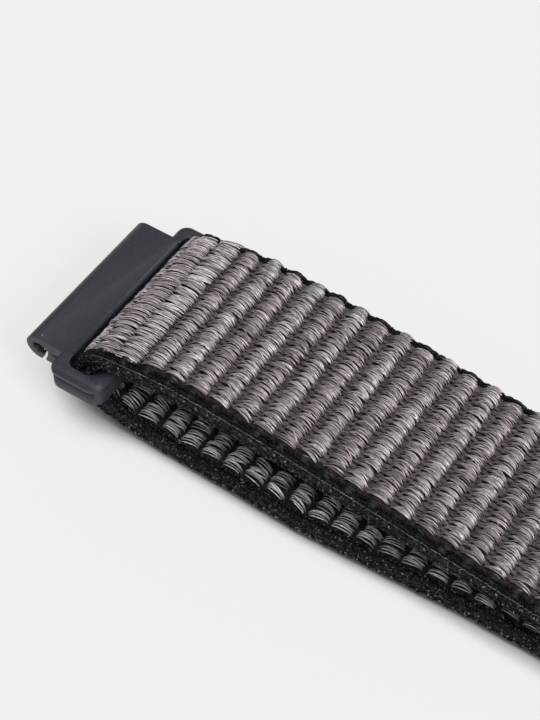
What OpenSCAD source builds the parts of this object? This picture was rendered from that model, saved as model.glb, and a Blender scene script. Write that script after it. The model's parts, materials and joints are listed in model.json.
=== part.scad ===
// Hook and loop watch strap, folded back through the slot of its adjustable connector.
// Millimetres. X runs along the strap, away from the adjustable connector, Y across it, Z up from the table.
// The webbing is one woven strip. It is followed from the tip of the flap back to the adjustable
// connector, round the bar there, along the table and round the bar of the fixed connector.
// Its outer face has the ribs and its inner face the fastening loops.

/* [Lugs and spring bar] */
// Gap between the lugs of the watch case
lug_gap = 22; // [20:0.5:26]
// Play between each end of the connector tube and its lug
lug_play = 0.1; // [0.05:0.05:0.3]
// Outer diameter of the spring bar's barrel
bar_d = 1.5; // [1.4:0.05:1.7]
// Radial clearance of the barrel in the tube
bar_play = 0.07; // [0.03:0.01:0.1]
// Diameter of the noses that enter the lugs
nose_d = 0.7; // [0.6:0.05:0.8]
// Length of each nose outside the tube
nose_out = 1; // [0.6:0.1:1.4]
// Travel of each sprung tip
tip_travel = 1.3; // [0.8:0.1:1.6]

/* [Connector] */
// Outer diameter of the tube
tube_d = 3.5; // [3.2:0.1:4]
// Thickness of the plate and the ring
shell_t = 3.4; // [3:0.1:3.8]
// Distance from the tube's axis to the slot for the webbing
plate_l = 5.1; // [4.8:0.1:7]
// Length of the ring's shoulder beside the plate
shoulder_l = 1.6; // [1.3:0.1:2]
// Width of the ring's two arms
arm_w = 1.55; // [1.2:0.05:2.5]
// Width of the bar that the webbing goes round
loop_bar_w = 1.8; // [1.7:0.1:2.5]
// Depth of the seam between the shells on the plate, under the top face
plate_seam = 1.55; // [1.3:0.05:1.8]
// Depth of the seam between the shells on the ring, under the top face
ring_seam = 0.9; // [0.6:0.05:1.2]
// Length of the lever slot along the tube
lever_slot_l = 5.5; // [5:0.1:7]
// Height of the tube's axis above the table
connector_z = 6.4; // [6.2:0.1:8]

/* [Webbing] */
// Width of the webbing with its selvedges
web_w = 22.4; // [18:0.2:26]
// Thickness of the woven ground
cloth_t = 1.5; // [1:0.1:1.8]
// Height of the ribs above the ground
rib_h = 0.75; // [0.4:0.05:1]
// Distance from one rib to the next
rib_pitch = 3; // [2.6:0.05:3.4]
// Height of the fastening loops above the ground
pile_h = 0.55; // [0.3:0.05:0.8]
// Width of each selvedge
selvedge_w = 1.3; // [1:0.1:2]
// Thickness of each selvedge
selvedge_t = 1.9; // [1.6:0.1:2.2]

/* [Lay of the strap] */
// Distance between the axes of the two tubes
span = 150; // [146:1:170]
// Room between the end tab and the sewn return
tab_room = 4.3; // [1:0.1:8]
// Length of flap that lies flat, its end tab left out
flap_flat_l = 25.2; // [22:0.1:26]
// Length of the sewn return at the fixed connector
sewn_l = 12; // [9:0.5:14]
// Free room in the fold round the bar, above and below it
fold_slack = 1; // [0.8:0.05:1.3]

/* [Fastener] */
// Thickness of the hook patch
patch_t = 1; // [0.6:0.1:1.4]
// Length of the end tab
tab_l = 5.5; // [4:0.5:8]
// Thickness of the end tab
tab_t = 2.2; // [1.6:0.1:2.6]
// Diameter of the sewing thread
thread_d = 0.4; // [0.2:0.05:0.5]

/* [Hidden] */
$fn = 48;

// Connector, from the tube's axis
tube_r = tube_d / 2;
tube_l = lug_gap - 2 * lug_play;
bore_r = bar_d / 2 + bar_play;
top_z = tube_r;
bottom_z = top_z - shell_t;
mid_z = (top_z + bottom_z) / 2;
corner_in_r = 1.3;
corner_out_r = 1.7;
slot_corner_r = 1.1;
slot_side_play = 0.9;
saddle_x = 1;
slot_half_w = web_w / 2 + slot_side_play;
ring_half_w = slot_half_w + arm_w;
ring_x = plate_l - shoulder_l;
edge_r = 0.6;

// Webbing, and the fold round a bar
web_t = cloth_t + rib_h + pile_h;
fold_gap = 0.2;
loop_bar_play = 0.19;
fold_r = shell_t / 2 + fold_slack;
fold_mid_r = fold_r + pile_h + cloth_t / 2;
fold_x = plate_l + fold_gap + fold_r + web_t;
fold_z = connector_z + mid_z;
bar_inset = fold_r - sqrt(pow(fold_r - loop_bar_play, 2) - pow(shell_t / 2, 2));
slot_l = fold_gap + web_t + bar_inset;
ring_end_x = plate_l + slot_l + loop_bar_w;
floor_z = cloth_t / 2 + rib_h;
lay_gap = 0.1;
lower_top_z = floor_z + cloth_t / 2 + pile_h;
flap_z = lower_top_z + lay_gap + patch_t + cloth_t / 2;
sewn_z = lower_top_z + lay_gap + pile_h + cloth_t / 2;
rise_deg = 5;
fall_deg = 10;
ramp_l = 8.2;
return_l = 14;
flat_pull = 16;
flat_lift = 0.55;
arch_pull = 17.7;
ramp_pull = 3;
floor_pull = 4;
return_pull = 6;
flap_reach = span - fold_x - return_l - sewn_l - tab_room;
tip_x = flap_reach - tab_l;
meet_x = tip_x - flap_flat_l;

function arc_point(c, r, a) = c + r * [cos(a), sin(a)];
function bezier(p, t) = pow(1 - t, 3) * p[0] + 3 * pow(1 - t, 2) * t * p[1]
    + 3 * (1 - t) * t * t * p[2] + pow(t, 3) * p[3];
function curve(p, n) = [for (i = [1:n]) bezier(p, i / n)];

// The strip's middle line, from the flap's tip to the cut end at the fixed connector
fold_a = [fold_x, fold_z];
fold_b = [span - fold_x, fold_z];
a_start = arc_point(fold_a, fold_mid_r, 90 + rise_deg);
a_end = arc_point(fold_a, fold_mid_r, 270 - fall_deg);
b_start = arc_point(fold_b, fold_mid_r, 270 + fall_deg);
b_end = arc_point(fold_b, fold_mid_r, 450 - rise_deg);
arch = [[meet_x, flap_z], [meet_x - flat_pull, flap_z + flat_lift],
    a_start + arch_pull * [cos(rise_deg), sin(rise_deg)], a_start];
ramp_a = [a_end, a_end + ramp_pull * [cos(fall_deg), -sin(fall_deg)],
    [fold_x + ramp_l - floor_pull, floor_z], [fold_x + ramp_l, floor_z]];
ramp_b = [[span - fold_x - ramp_l, floor_z], [span - fold_x - ramp_l + floor_pull, floor_z],
    b_start - ramp_pull * [cos(fall_deg), sin(fall_deg)], b_start];
sewn_x = span - fold_x - return_l;
back_b = [b_end, b_end + return_pull * [-cos(rise_deg), sin(rise_deg)],
    [sewn_x + return_pull, sewn_z], [sewn_x, sewn_z]];
arch_n = 60;
arc_n = 30;
ramp_n = 16;
back_n = 24;
arc_span = 180 - rise_deg - fall_deg;
arc_a = [for (i = [1:arc_n]) arc_point(fold_a, fold_mid_r, 90 + rise_deg + arc_span * i / arc_n)];
arc_b = [for (i = [1:arc_n]) arc_point(fold_b, fold_mid_r, 270 + fall_deg + arc_span * i / arc_n)];
line = concat([[tip_x, flap_z], [meet_x, flap_z]], curve(arch, arch_n), arc_a, curve(ramp_a, ramp_n),
    [ramp_b[0]], curve(ramp_b, ramp_n), arc_b, curve(back_b, back_n), [[sewn_x - sewn_l, sewn_z]]);
at_meet = 1;
at_a_start = at_meet + arch_n;
at_a_end = at_a_start + arc_n;
at_b_start = at_a_end + ramp_n + 1 + ramp_n;
at_b_end = at_b_start + arc_n;
at_sewn = at_b_end + back_n;

// Length along the strip, and the strip's points at even steps, a few to each rib
steps = [for (i = [1:len(line) - 1]) norm(line[i] - line[i - 1])];
length_at = [for (i = 0, s = 0; i < len(line); s = s + (i < len(steps) ? steps[i] : 0), i = i + 1) s];
x_table = [for (i = [0:len(line) - 1]) [length_at[i], line[i][0]]];
z_table = [for (i = [0:len(line) - 1]) [length_at[i], line[i][1]]];
rib_steps = 6;
step_l = rib_pitch / rib_steps;
function at(s) = [lookup(s, x_table), lookup(s, z_table)];
function way(i) = at((i + 0.5) * step_l) - at((i - 0.5) * step_l);
function outward(i) = [way(i)[1], -way(i)[0]] / norm(way(i));
function rib_u(i) = 2 * (i % rib_steps) / rib_steps - 1;
function rib_rise(i) = rib_h * sqrt(1 - pow(rib_u(i), 2));
function point(i, off) = at(i * step_l) + off * outward(i);

// Where the strip is divided, in whole ribs from the tip
function ribs_to(n) = round(length_at[n] / rib_pitch);
hinge_ribs = 10;
curl_ribs = 6;
curl_start = 16;
n_patch = ribs_to(at_meet);
n_flap = n_patch + hinge_ribs;
n_arch = ribs_to(at_a_start);
n_fold_a = ribs_to(at_a_end) + 1;
n_lower = n_fold_a + curl_start;
n_near = n_lower + curl_ribs;
n_middle = n_near + curl_ribs;
n_fold_b = ribs_to(at_b_start) - 1;
n_return = ribs_to(at_b_end) + 1;
n_end = floor(length_at[at_sewn + 1] / rib_pitch);
n_sewn = ceil(length_at[at_sewn] / rib_pitch);

module in_place() translate([-span / 2, 0, 0]) children();

module across(width, points) rotate([90, 0, 0]) linear_extrude(height = width, center = true) polygon(points);

// A stretch of the webbing between two ribs. The pile is how far the loops stand from the ground.
module stretch(rib_from, rib_to, pile, inner_step) {
    first = rib_from * rib_steps;
    last = rib_to * rib_steps;
    ground = cloth_t / 2;
    rim = selvedge_t / 2;
    ribbed = [for (i = [first:last]) point(i, ground + rib_rise(i))];
    looped = [for (i = [last:-inner_step:first]) point(i, -ground - pile)];
    rim_out = [for (i = [first:inner_step:last]) point(i, rim)];
    rim_in = [for (i = [last:-inner_step:first]) point(i, -rim)];
    in_place() {
        color("#8d8684") across(web_w - 2 * selvedge_w, concat(ribbed, looped));
        for (side = [-1, 1])
            color("#1b1b1d") translate([0, side * (web_w - selvedge_w) / 2, 0])
                across(selvedge_w, concat(rim_out, rim_in));
    }
}

module flap_end() stretch(0, n_patch, 0, rib_steps);
module flap_middle() stretch(n_patch, n_flap, pile_h, 3);
module band_upper() stretch(n_flap, n_arch, pile_h, 3);
module band_fold() stretch(n_arch, n_fold_a, pile_h, 1);
module band_lower() stretch(n_fold_a, n_lower, pile_h, 3);
module tail_near() stretch(n_lower, n_near, pile_h, rib_steps);
module tail_middle() stretch(n_near, n_middle, pile_h, rib_steps);
module tail_far() stretch(n_middle, n_fold_b, pile_h, 3);
module tail_fold() stretch(n_fold_b, n_return, pile_h, 1);
module sewn_return() stretch(n_return, n_end, pile_h, 1);

// Connector, with the tube's axis at the origin and the strap towards +X
module ring_corner(x, y, r) translate([x, y]) circle(r = r);

module rounded_outline(x0, x1, half_w, r0, r1) {
    translate([x0 + r0, -half_w]) square([x1 - x0 - r0 - r1, 2 * half_w]);
    translate([x0, -half_w + r0]) square([r0, 2 * (half_w - r0)]);
    translate([x1 - r1, -half_w + r1]) square([r1, 2 * (half_w - r1)]);
    for (side = [-1, 1]) {
        ring_corner(x0 + r0, side * (half_w - r0), r0);
        ring_corner(x1 - r1, side * (half_w - r1), r1);
    }
}

module slot_outline() rounded_outline(plate_l, plate_l + slot_l, slot_half_w, slot_corner_r, slot_corner_r);

module ring_outline() difference() {
    rounded_outline(ring_x, ring_end_x, ring_half_w, corner_in_r, corner_out_r);
    slot_outline();
}

// How far a cutting shape runs past what it cuts
cut_over = 1;

module slab(z0, z1) translate([0, 0, z0]) linear_extrude(height = z1 - z0) children();

module plate_outline(x0) translate([x0, -tube_l / 2]) square([plate_l - x0, tube_l]);

module along_tube(r, l) rotate([90, 0, 0]) cylinder(r = r, h = l, center = true);

// The mouth through which the bar's lever reaches out, open at the end of the tube
module lever_slot() {
    mouth = [[0.45, 0], [0.45, -0.9], [0.32, -1.4], [0.2, -tube_r - cut_over], [1, -tube_r - cut_over],
        [1, -1.15], [1.42, -0.1], [1.42, 0.45], [1, 0.95], [0.45, 0.9]];
    translate([0, (lever_slot_l - cut_over - tube_l) / 2, 0]) across(lever_slot_l + cut_over, mouth);
}

// Rounds the plate's top edge, where the webbing rises out of the slot
module plate_edge_round() translate([plate_l - edge_r, 0, top_z - edge_r]) difference() {
    translate([0, -tube_l / 2, 0]) cube([edge_r + cut_over, tube_l, edge_r + cut_over]);
    along_tube(edge_r, tube_l + cut_over);
}

module top_shell() color("#3d3e42") difference() {
    union() {
        along_tube(tube_r, tube_l);
        slab(top_z - plate_seam, top_z) plate_outline(0);
        slab(top_z - ring_seam, top_z) ring_outline();
    }
    along_tube(bore_r, tube_l + cut_over);
    lever_slot();
    plate_edge_round();
}

module bottom_shell() color("#3a3b3f") difference() {
    union() {
        slab(bottom_z, top_z - plate_seam) plate_outline(saddle_x);
        slab(bottom_z, top_z - ring_seam) difference() {
            ring_outline();
            plate_outline(0);
        }
    }
    along_tube(tube_r, tube_l + cut_over);
}

module at_a() in_place() translate([0, 0, connector_z]) children();
module at_b() in_place() translate([span, 0, connector_z]) rotate([0, 0, 180]) children();

module a_top_shell() at_a() top_shell();
module a_bottom_shell() at_a() bottom_shell();
module b_top_shell() at_b() top_shell();
module b_bottom_shell() at_b() bottom_shell();

// Quick release spring bar, along Y, with the lever at the -Y end of its connector
barrel_inset = 0.5;
lip_l = 0.4;
flange_l = 0.6;
rod_l = 3.2;
barrel_wall = 0.12;
barrel_r = bar_d / 2;
barrel_in_r = barrel_r - barrel_wall;
tip_play = 0.04;
neck_step = 0.07;
neck_play = 0.03;
nose_r = nose_d / 2;
flange_r = barrel_in_r - tip_play;
neck_r = flange_r - neck_step;
barrel_end = tube_l / 2 - barrel_inset;
flange_y = barrel_end - lip_l;
lever_inset = 3.4;
lever_y = -tube_l / 2 + lever_inset;
lever_r = 0.22;
lever_x = 0.73;
lever_drop = 0.9;
lever_pad_z = -tube_r - lever_drop;
pad_r = 0.75;
pad_t = 0.5;
arm_slot_play = 0.08;

module rod(r, y0, y1) translate([0, (y0 + y1) / 2, 0]) along_tube(r, abs(y1 - y0));

module barrel() color("#2a2a2c") difference() {
    rod(barrel_r, -barrel_end, barrel_end);
    rod(barrel_in_r, -flange_y, flange_y);
    rod(neck_r + neck_play, -barrel_end - cut_over, barrel_end + cut_over);
    translate([0, lever_y - lever_r - arm_slot_play, -lever_r - arm_slot_play])
        cube([barrel_r + cut_over, 2 * (lever_r + arm_slot_play) + tip_travel, 2 * (lever_r + arm_slot_play)]);
}

module plain_tip() color("#2f2f31") {
    rod(nose_r, flange_y - flange_l, tube_l / 2 + nose_out);
    rod(neck_r, flange_y - flange_l, tube_l / 2);
    rod(flange_r, flange_y - flange_l, flange_y);
}

module release_tip() color("#2f2f31") difference() {
    union() {
        rod(nose_r, -tube_l / 2 - nose_out, -flange_y + flange_l);
        rod(neck_r, -tube_l / 2, -flange_y + flange_l);
        rod(flange_r, -flange_y, -flange_y + flange_l + rod_l);
    }
    translate([0, lever_y, 0]) rotate([0, 90, 0]) cylinder(r = lever_r, h = barrel_r);
}

module release_lever() color("#242426") {
    translate([0, lever_y, 0]) {
        rotate([0, 90, 0]) cylinder(r = lever_r, h = lever_x);
        translate([lever_x, 0, 0]) sphere(r = lever_r);
        translate([lever_x, 0, lever_pad_z]) cylinder(r = lever_r, h = -lever_pad_z);
        translate([lever_x, 0, lever_pad_z - pad_t]) cylinder(r = pad_r, h = pad_t);
    }
}

// Compression spring between the two tips, one unbroken wire
spring_turns = 20;
spring_wire_r = 0.09;
spring_play = 0.08;
spring_r = barrel_in_r - spring_play - spring_wire_r;
spring_start = -flange_y + flange_l + rod_l;
spring_end = flange_y - flange_l;
ring_points = 8;
wire_sides = 6;

spring_seat_play = 0.02;
spring_seat = spring_wire_r + spring_seat_play;
spring_l = spring_end - spring_start - 2 * spring_seat;
spring_count = spring_turns * ring_points;

function wire_centre(k) = let (a = 360 * k / ring_points)
    [spring_r * cos(a), spring_start + spring_seat + spring_l * k / spring_count, spring_r * sin(a)];
function wire_ring(k) = let (a = 360 * k / ring_points)
    [for (j = [0:wire_sides - 1]) let (b = 360 * j / wire_sides)
        wire_centre(k) + spring_wire_r * [cos(b) * cos(a), sin(b), cos(b) * sin(a)]];

module spring() {
    points = [for (k = [0:spring_count]) each wire_ring(k)];
    sides = [for (k = [0:spring_count - 1]) for (j = [0:wire_sides - 1])
        let (n = (j + 1) % wire_sides, a = k * wire_sides, b = a + wire_sides)
            each [[a + j, b + j, b + n], [a + j, b + n, a + n]]];
    last = spring_count * wire_sides;
    caps = [for (j = [1:wire_sides - 2]) each [[0, j, j + 1], [last, last + j + 1, last + j]]];
    color("silver") polyhedron(points, concat(sides, caps));
}

module bar_barrel() at_b() barrel();
module bar_plain_tip() at_b() plain_tip();
module bar_release_tip() at_b() release_tip();
module bar_release_lever() at_b() release_lever();
module bar_spring() at_b() spring();

// Hook patch, sewn to the inner face of the flap
patch_margin = 0.5;
patch_w = web_w - 2 * selvedge_w - 2 * patch_margin;
patch_l = n_patch * rib_pitch - 2 * patch_margin;

module hook_patch() in_place() color("#26262a")
    translate([tip_x - patch_margin - patch_l, -patch_w / 2, flap_z - cloth_t / 2 - patch_t])
        cube([patch_l, patch_w, patch_t]);

// Pressed tab at the flap's tip
tab_corner_r = 2.5;

module end_tab() in_place() color("#202022") translate([0, 0, flap_z - tab_t / 2])
    linear_extrude(height = tab_t) {
        translate([tip_x, -web_w / 2]) square([tab_l - tab_corner_r, web_w]);
        translate([tip_x, -web_w / 2 + tab_corner_r]) square([tab_l, web_w - 2 * tab_corner_r]);
        for (side = [-1, 1])
            translate([tip_x + tab_l - tab_corner_r, side * (web_w / 2 - tab_corner_r)])
                circle(r = tab_corner_r);
    }

// Rows of thread across the strap, each stitch lying in the valley between two ribs
stitch_l = 2.2;
stitch_gap = 0.7;
stitches = floor((web_w - 2 * selvedge_w) / (stitch_l + stitch_gap));
thread_play = 0.02;
valley_deg = atan2(rib_rise(1), step_l);
thread_up = cloth_t / 2 + (thread_d / 2 + thread_play) / cos(valley_deg);

module stitch_row(rib) {
    valley = point(rib * rib_steps, thread_up);
    for (k = [0:stitches - 1])
        translate([valley[0], (k - (stitches - 1) / 2) * (stitch_l + stitch_gap), valley[1]])
            along_tube(thread_d / 2, stitch_l);
}

module patch_stitches() in_place() color("#151517") for (rib = [1, n_patch - 1]) stitch_row(rib);

module return_stitches() in_place() color("#151517") for (rib = [n_sewn, n_end - 1]) stitch_row(rib);

a_top_shell();
a_bottom_shell();
b_top_shell();
b_bottom_shell();
bar_barrel();
bar_plain_tip();
bar_release_tip();
bar_release_lever();
bar_spring();
flap_end();
flap_middle();
band_upper();
band_fold();
band_lower();
tail_near();
tail_middle();
tail_far();
tail_fold();
sewn_return();
hook_patch();
end_tab();
patch_stitches();
return_stitches();
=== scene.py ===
"""Hook and loop watch strap, folded back through the slot of its adjustable connector.

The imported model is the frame, in metres, and every piece here takes its place from it.
The webbing is made yarn by yarn, flat, as it comes off the loom: X is the length along the strip
from the flap's tip, Y runs across it and Z is the height over its middle line, towards the ribs.
It is then laid along the line that the strip follows.
"""

import json
import math

import bpy
import numpy as np
from bpy.props import FloatProperty, FloatVectorProperty, IntProperty, PointerProperty
from mathutils import Matrix, Vector


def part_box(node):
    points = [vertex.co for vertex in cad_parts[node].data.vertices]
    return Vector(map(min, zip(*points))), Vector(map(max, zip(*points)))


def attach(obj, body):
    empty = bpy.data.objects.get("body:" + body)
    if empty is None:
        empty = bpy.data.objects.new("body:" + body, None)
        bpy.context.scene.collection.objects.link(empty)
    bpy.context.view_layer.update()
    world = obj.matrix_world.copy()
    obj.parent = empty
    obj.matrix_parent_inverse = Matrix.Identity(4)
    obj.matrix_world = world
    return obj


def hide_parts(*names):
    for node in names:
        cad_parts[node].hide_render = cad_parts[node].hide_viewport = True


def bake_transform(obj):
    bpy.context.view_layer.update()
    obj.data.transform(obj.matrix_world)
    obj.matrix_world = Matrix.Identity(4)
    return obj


bl_info = {
    "name": "Woven Watch Strap",
    "version": (1, 0, 0),
    "blender": (4, 5, 0),
    "location": "3D View > Sidebar > Strap",
    "description": "Dresses the frame of a watch strap with yarn, fastening loops and moulded connectors",
    "category": "Object",
}

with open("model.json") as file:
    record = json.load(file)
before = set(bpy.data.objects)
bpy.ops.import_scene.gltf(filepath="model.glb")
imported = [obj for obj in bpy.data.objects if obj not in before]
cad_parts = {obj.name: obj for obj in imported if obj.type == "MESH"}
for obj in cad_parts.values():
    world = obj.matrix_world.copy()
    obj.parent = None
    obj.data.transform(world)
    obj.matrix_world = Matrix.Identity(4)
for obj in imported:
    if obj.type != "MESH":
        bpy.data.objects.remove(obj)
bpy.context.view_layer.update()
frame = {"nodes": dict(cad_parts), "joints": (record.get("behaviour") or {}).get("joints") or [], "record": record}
MM = 0.001

# Places that the frame gives
SHELL_LOW, SHELL_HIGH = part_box("a_top_shell")
LOWER_SHELL_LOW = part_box("a_bottom_shell")[0]
WEB_LOW, WEB_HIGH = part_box("band_lower")
MOUNTS = {mount["name"]: mount for mount in frame["record"]["mounts"]}
HINGES = {joint["name"]: joint for joint in frame["joints"]}
TUBE_AXIS_X, _, TUBE_AXIS_Z = MOUNTS["bar_bore"]["pos_m"]
TUBE_L = MOUNTS["bar_bore"]["dims"]["length_mm"] * MM
BORE_R = MOUNTS["bar_bore"]["dims"]["r_mm"] * MM
TUBE_R = TUBE_AXIS_X - SHELL_LOW.x
FOLD_X, _, FOLD_Z = HINGES["connector_a_swivel"]["pos_m"]


def length(name, text, millimetres):
    """A size that a user may change."""
    return FloatProperty(name=name, description=text, default=millimetres * MM, unit="LENGTH", precision=5)


def angle(name, text, degrees):
    return FloatProperty(name=name, description=text, default=math.radians(degrees), subtype="ANGLE")


def number(name, text, value):
    return FloatProperty(name=name, description=text, default=value)


def colour(name, text, red, green, blue):
    """A colour, given as it looks on a screen from 0 to 255 and kept as light."""
    light = [((c / 255 + 0.055) / 1.055) ** 2.4 if c > 10 else c / 255 / 12.92 for c in (red, green, blue)]
    return FloatVectorProperty(
        name=name, description=text, default=(*light, 1.0), size=4, subtype="COLOR", min=0.0, max=1.0
    )


class StrapLaySettings(bpy.types.PropertyGroup):
    """The line that the strip follows, which the frame's solids follow too"""

    cloth_t: length("Ground", "Thickness of the woven ground", 1.5)
    rib_h: length("Rib height", "Height of the ribs above the ground", 0.75)
    pile_h: length("Loop height", "Height of the fastening loops above the ground", 0.55)
    rib_pitch: length("Rib pitch", "Distance from one rib to the next", 3.0)
    tab_room: length("Tab room", "Room between the end tab and the sewn return", 4.3)
    tab_l: length("Tab length", "Length of the end tab", 5.5)
    flap_flat_l: length("Flat flap", "Length of flap that lies flat", 25.2)
    patch_t: length("Hook patch", "Thickness of the hook patch", 1.0)
    lay_gap: length("Lay gap", "Gap between two layers that lie on each other", 0.1)
    sewn_l: length("Sewn return", "Length of the sewn return", 12.0)
    return_l: length("Return", "Length of the return before it is sewn", 14.0)
    ramp_l: length("Ramp", "Length over which the strip leaves the table", 8.2)
    rise: angle("Rise", "Slope at which the strip enters a fold", 5.0)
    fall: angle("Fall", "Slope at which the strip leaves a fold", 10.0)
    flat_pull: length("Flat pull", "Pull of the arch at its low end", 16.0)
    flat_lift: length("Flat lift", "Lift of the arch at its low end", 0.55)
    arch_pull: length("Arch pull", "Pull of the arch at the fold", 17.7)
    ramp_pull: length("Ramp pull", "Pull of a ramp at the fold", 3.0)
    floor_pull: length("Floor pull", "Pull of a ramp at the table", 4.0)
    return_pull: length("Return pull", "Pull of the return at both its ends", 6.0)


class StrapYarnSettings(bpy.types.PropertyGroup):
    """The yarns of the webbing"""

    edge_w: length("Selvedge", "Width of each knitted selvedge", 1.45)
    rib_shift: length("Rib shift", "How far the ribs stand off the middle of the strip", 0.4)
    arc_pitch: length("Arc pitch", "Distance across between two bundles of a rib", 0.762)
    strand_r: length("Strand", "Radius of a strand", 0.092)
    loop_pitch: length("Loop pitch", "Distance across between two rows of loops", 1.12)
    loop_strand_r: length("Loop strand", "Radius of a strand of a loop", 0.08)
    knot_l: length("Knot", "Length of a knitted knot", 0.44)
    seed: IntProperty(name="Seed", description="Start of the yarns' small irregularities", default=7)


class StrapConnectorSettings(bpy.types.PropertyGroup):
    """The moulded lug connectors"""

    plate_l: length("Plate", "From the tube's axis to the slot", 5.1)
    shoulder_l: length("Shoulder", "Length of the ring beside the plate", 1.6)
    plate_seam: length("Plate seam", "Depth of the seam on the plate", 1.55)
    ring_seam: length("Ring seam", "Depth of the seam on the ring", 0.9)
    arm_w: length("Arm", "Width of the ring's arms", 1.55)
    slot_l: length("Slot", "Length of the slot for the webbing", 3.853)
    slot_corner_r: length("Slot corner", "Radius of the slot's corners", 1.1)
    corner_in_r: length("Shoulder corner", "Radius of the ring's corners beside the plate", 1.3)
    corner_out_r: length("Ring corner", "Radius of the ring's corners at the webbing's fold", 1.7)
    lever_slot_l: length("Lever mouth", "Length of the mouth for the bar's lever", 5.5)
    slot_edge_r: length("Slot edge", "Radius of the plate's edge at the slot", 0.6)
    shoulder_chamfer: length("Ring chamfer", "Chamfer round the ring's top", 0.42)
    soft_edge: length("Soft edge", "Radius of the moulding's other edges", 0.1)


class StrapColourSettings(bpy.types.PropertyGroup):
    """Colours of the finishes"""

    plastic: colour("Plastic", "Moulded plastic of the connectors", 50, 52, 59)
    grey_yarn: colour("Grey yarn", "Yarn of the bold ribs", 178, 172, 178)
    taupe_yarn: colour("Taupe yarn", "Yarn of the fine ribs", 166, 154, 157)
    binding: colour("Binding", "Binding yarn in the valleys between the ribs", 80, 69, 72)
    loop_yarn: colour("Loop yarn", "Yarn of the fastening loops", 200, 195, 201)
    edge_yarn: colour("Edge yarn", "Yarn of the selvedges", 24, 25, 32)
    steel: colour("Steel", "Blackened steel of the spring bar", 66, 66, 68)
    floor: colour("Floor", "Floor under the strap", 150, 150, 150)


class StrapStageSettings(bpy.types.PropertyGroup):
    """The camera and the light"""

    azimuth: angle("Azimuth", "Direction of the view, from +Y towards -X", 33.9)
    elevation: angle("Elevation", "Height of the camera over the horizon", 51.0)
    distance: length("Distance", "From the camera to the point that it looks at", 221.4)
    target: FloatVectorProperty(
        name="Target", description="Point that the camera looks at", size=3, subtype="XYZ", unit="LENGTH",
        default=(-51.44 * MM, 2.66 * MM, 6.4 * MM),
    )
    focal: number("Focal length", "Lens, in pixels of the 720 high frame", 1900.0)
    sky: number("Sky", "Strength of the light from all round", 0.22)
    key: number("Key", "Strength of the large soft light overhead", 1.95)
    side: number("Side", "Strength of the soft light from the front right", 1.0)
    glow: number("Glow", "Strength of the light that the floor gives by itself", 0.56)


def settings(name):
    return getattr(bpy.context.scene, name)


# Meshes


def deselect():
    if bpy.context.object and bpy.context.object.mode != "OBJECT":
        bpy.ops.object.mode_set(mode="OBJECT")
    bpy.ops.object.select_all(action="DESELECT")


def work_on(piece):
    deselect()
    piece.select_set(True)
    bpy.context.view_layer.objects.active = piece


def apply_modifier(piece, kind, **values):
    """Adds a modifier with these values and applies it."""
    work_on(piece)
    modifier = piece.modifiers.new(kind.title(), kind)
    for key, value in values.items():
        setattr(modifier, key, value)
    bpy.ops.object.modifier_apply(modifier=modifier.name)


def prism(name, corners, axis, low, high):
    """A solid with this outline: (x, z) corners drawn along Y, or (x, y) corners drawn along Z."""
    deselect()
    bpy.ops.mesh.primitive_circle_add(vertices=len(corners), radius=1.0, fill_type="NGON")
    piece = bpy.context.object
    piece.name = name
    for vertex, (a, b) in zip(piece.data.vertices, corners):
        vertex.co = (a, low, b) if axis == "Y" else (a, b, low)
    step = (0, high - low, 0) if axis == "Y" else (0, 0, high - low)
    bpy.ops.object.mode_set(mode="EDIT")
    bpy.ops.mesh.select_all(action="SELECT")
    bpy.ops.mesh.extrude_region_move(TRANSFORM_OT_translate={"value": step})
    bpy.ops.mesh.select_all(action="SELECT")
    bpy.ops.mesh.normals_make_consistent(inside=False)
    bpy.ops.object.mode_set(mode="OBJECT")
    return piece


def rod(name, radius, low, high, centre, vertices=64):
    """A round bar along Y from low to high, with its axis through centre, an (x, z) point."""
    deselect()
    bpy.ops.mesh.primitive_cylinder_add(vertices=vertices, radius=radius, depth=high - low)
    piece = bpy.context.object
    piece.name = name
    turn = Matrix.Rotation(math.radians(90), 4, "X")
    piece.data.transform(Matrix.Translation((centre[0], (low + high) / 2, centre[1])) @ turn)
    return piece


def combine(operation, piece, *others):
    """Cuts the others out of the piece, or adds them, one by one, and removes them."""
    for other in others:
        apply_modifier(piece, "BOOLEAN", object=other, operation=operation, solver="EXACT")
        bpy.data.objects.remove(other)
    return piece


def bevel_edges(piece, height, width, segments):
    """Bevels the edges that lie at this height."""
    work_on(piece)
    bpy.ops.object.mode_set(mode="EDIT")
    bpy.ops.mesh.select_mode(type="EDGE")
    bpy.ops.mesh.select_all(action="DESELECT")
    bpy.ops.object.mode_set(mode="OBJECT")
    points = piece.data.vertices
    for edge in piece.data.edges:
        edge.select = all(abs(points[index].co.z - height) < 0.01 * MM for index in edge.vertices)
    bpy.ops.object.mode_set(mode="EDIT")
    bpy.ops.mesh.bevel(offset=width, offset_type="OFFSET", segments=segments, profile=0.5, affect="EDGES")
    bpy.ops.object.mode_set(mode="OBJECT")


SHARP_ANGLE = math.radians(35)
SMOOTH_ANGLE = math.radians(40)


def soften(piece, width, segments=2):
    """Rounds every sharp edge of a moulding."""
    apply_modifier(
        piece, "BEVEL", width=width, segments=segments, limit_method="ANGLE",
        angle_limit=SHARP_ANGLE, use_clamp_overlap=True, harden_normals=False,
    )
    work_on(piece)
    bpy.ops.object.shade_smooth_by_angle(angle=SMOOTH_ANGLE)
    return piece


def turned_copy(piece, name, turn):
    """A copy with its own mesh, moved in the mesh."""
    copy = piece.copy()
    copy.data = piece.data.copy()
    copy.name = name
    copy.data.transform(turn)
    bpy.context.collection.objects.link(copy)
    return copy


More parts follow.
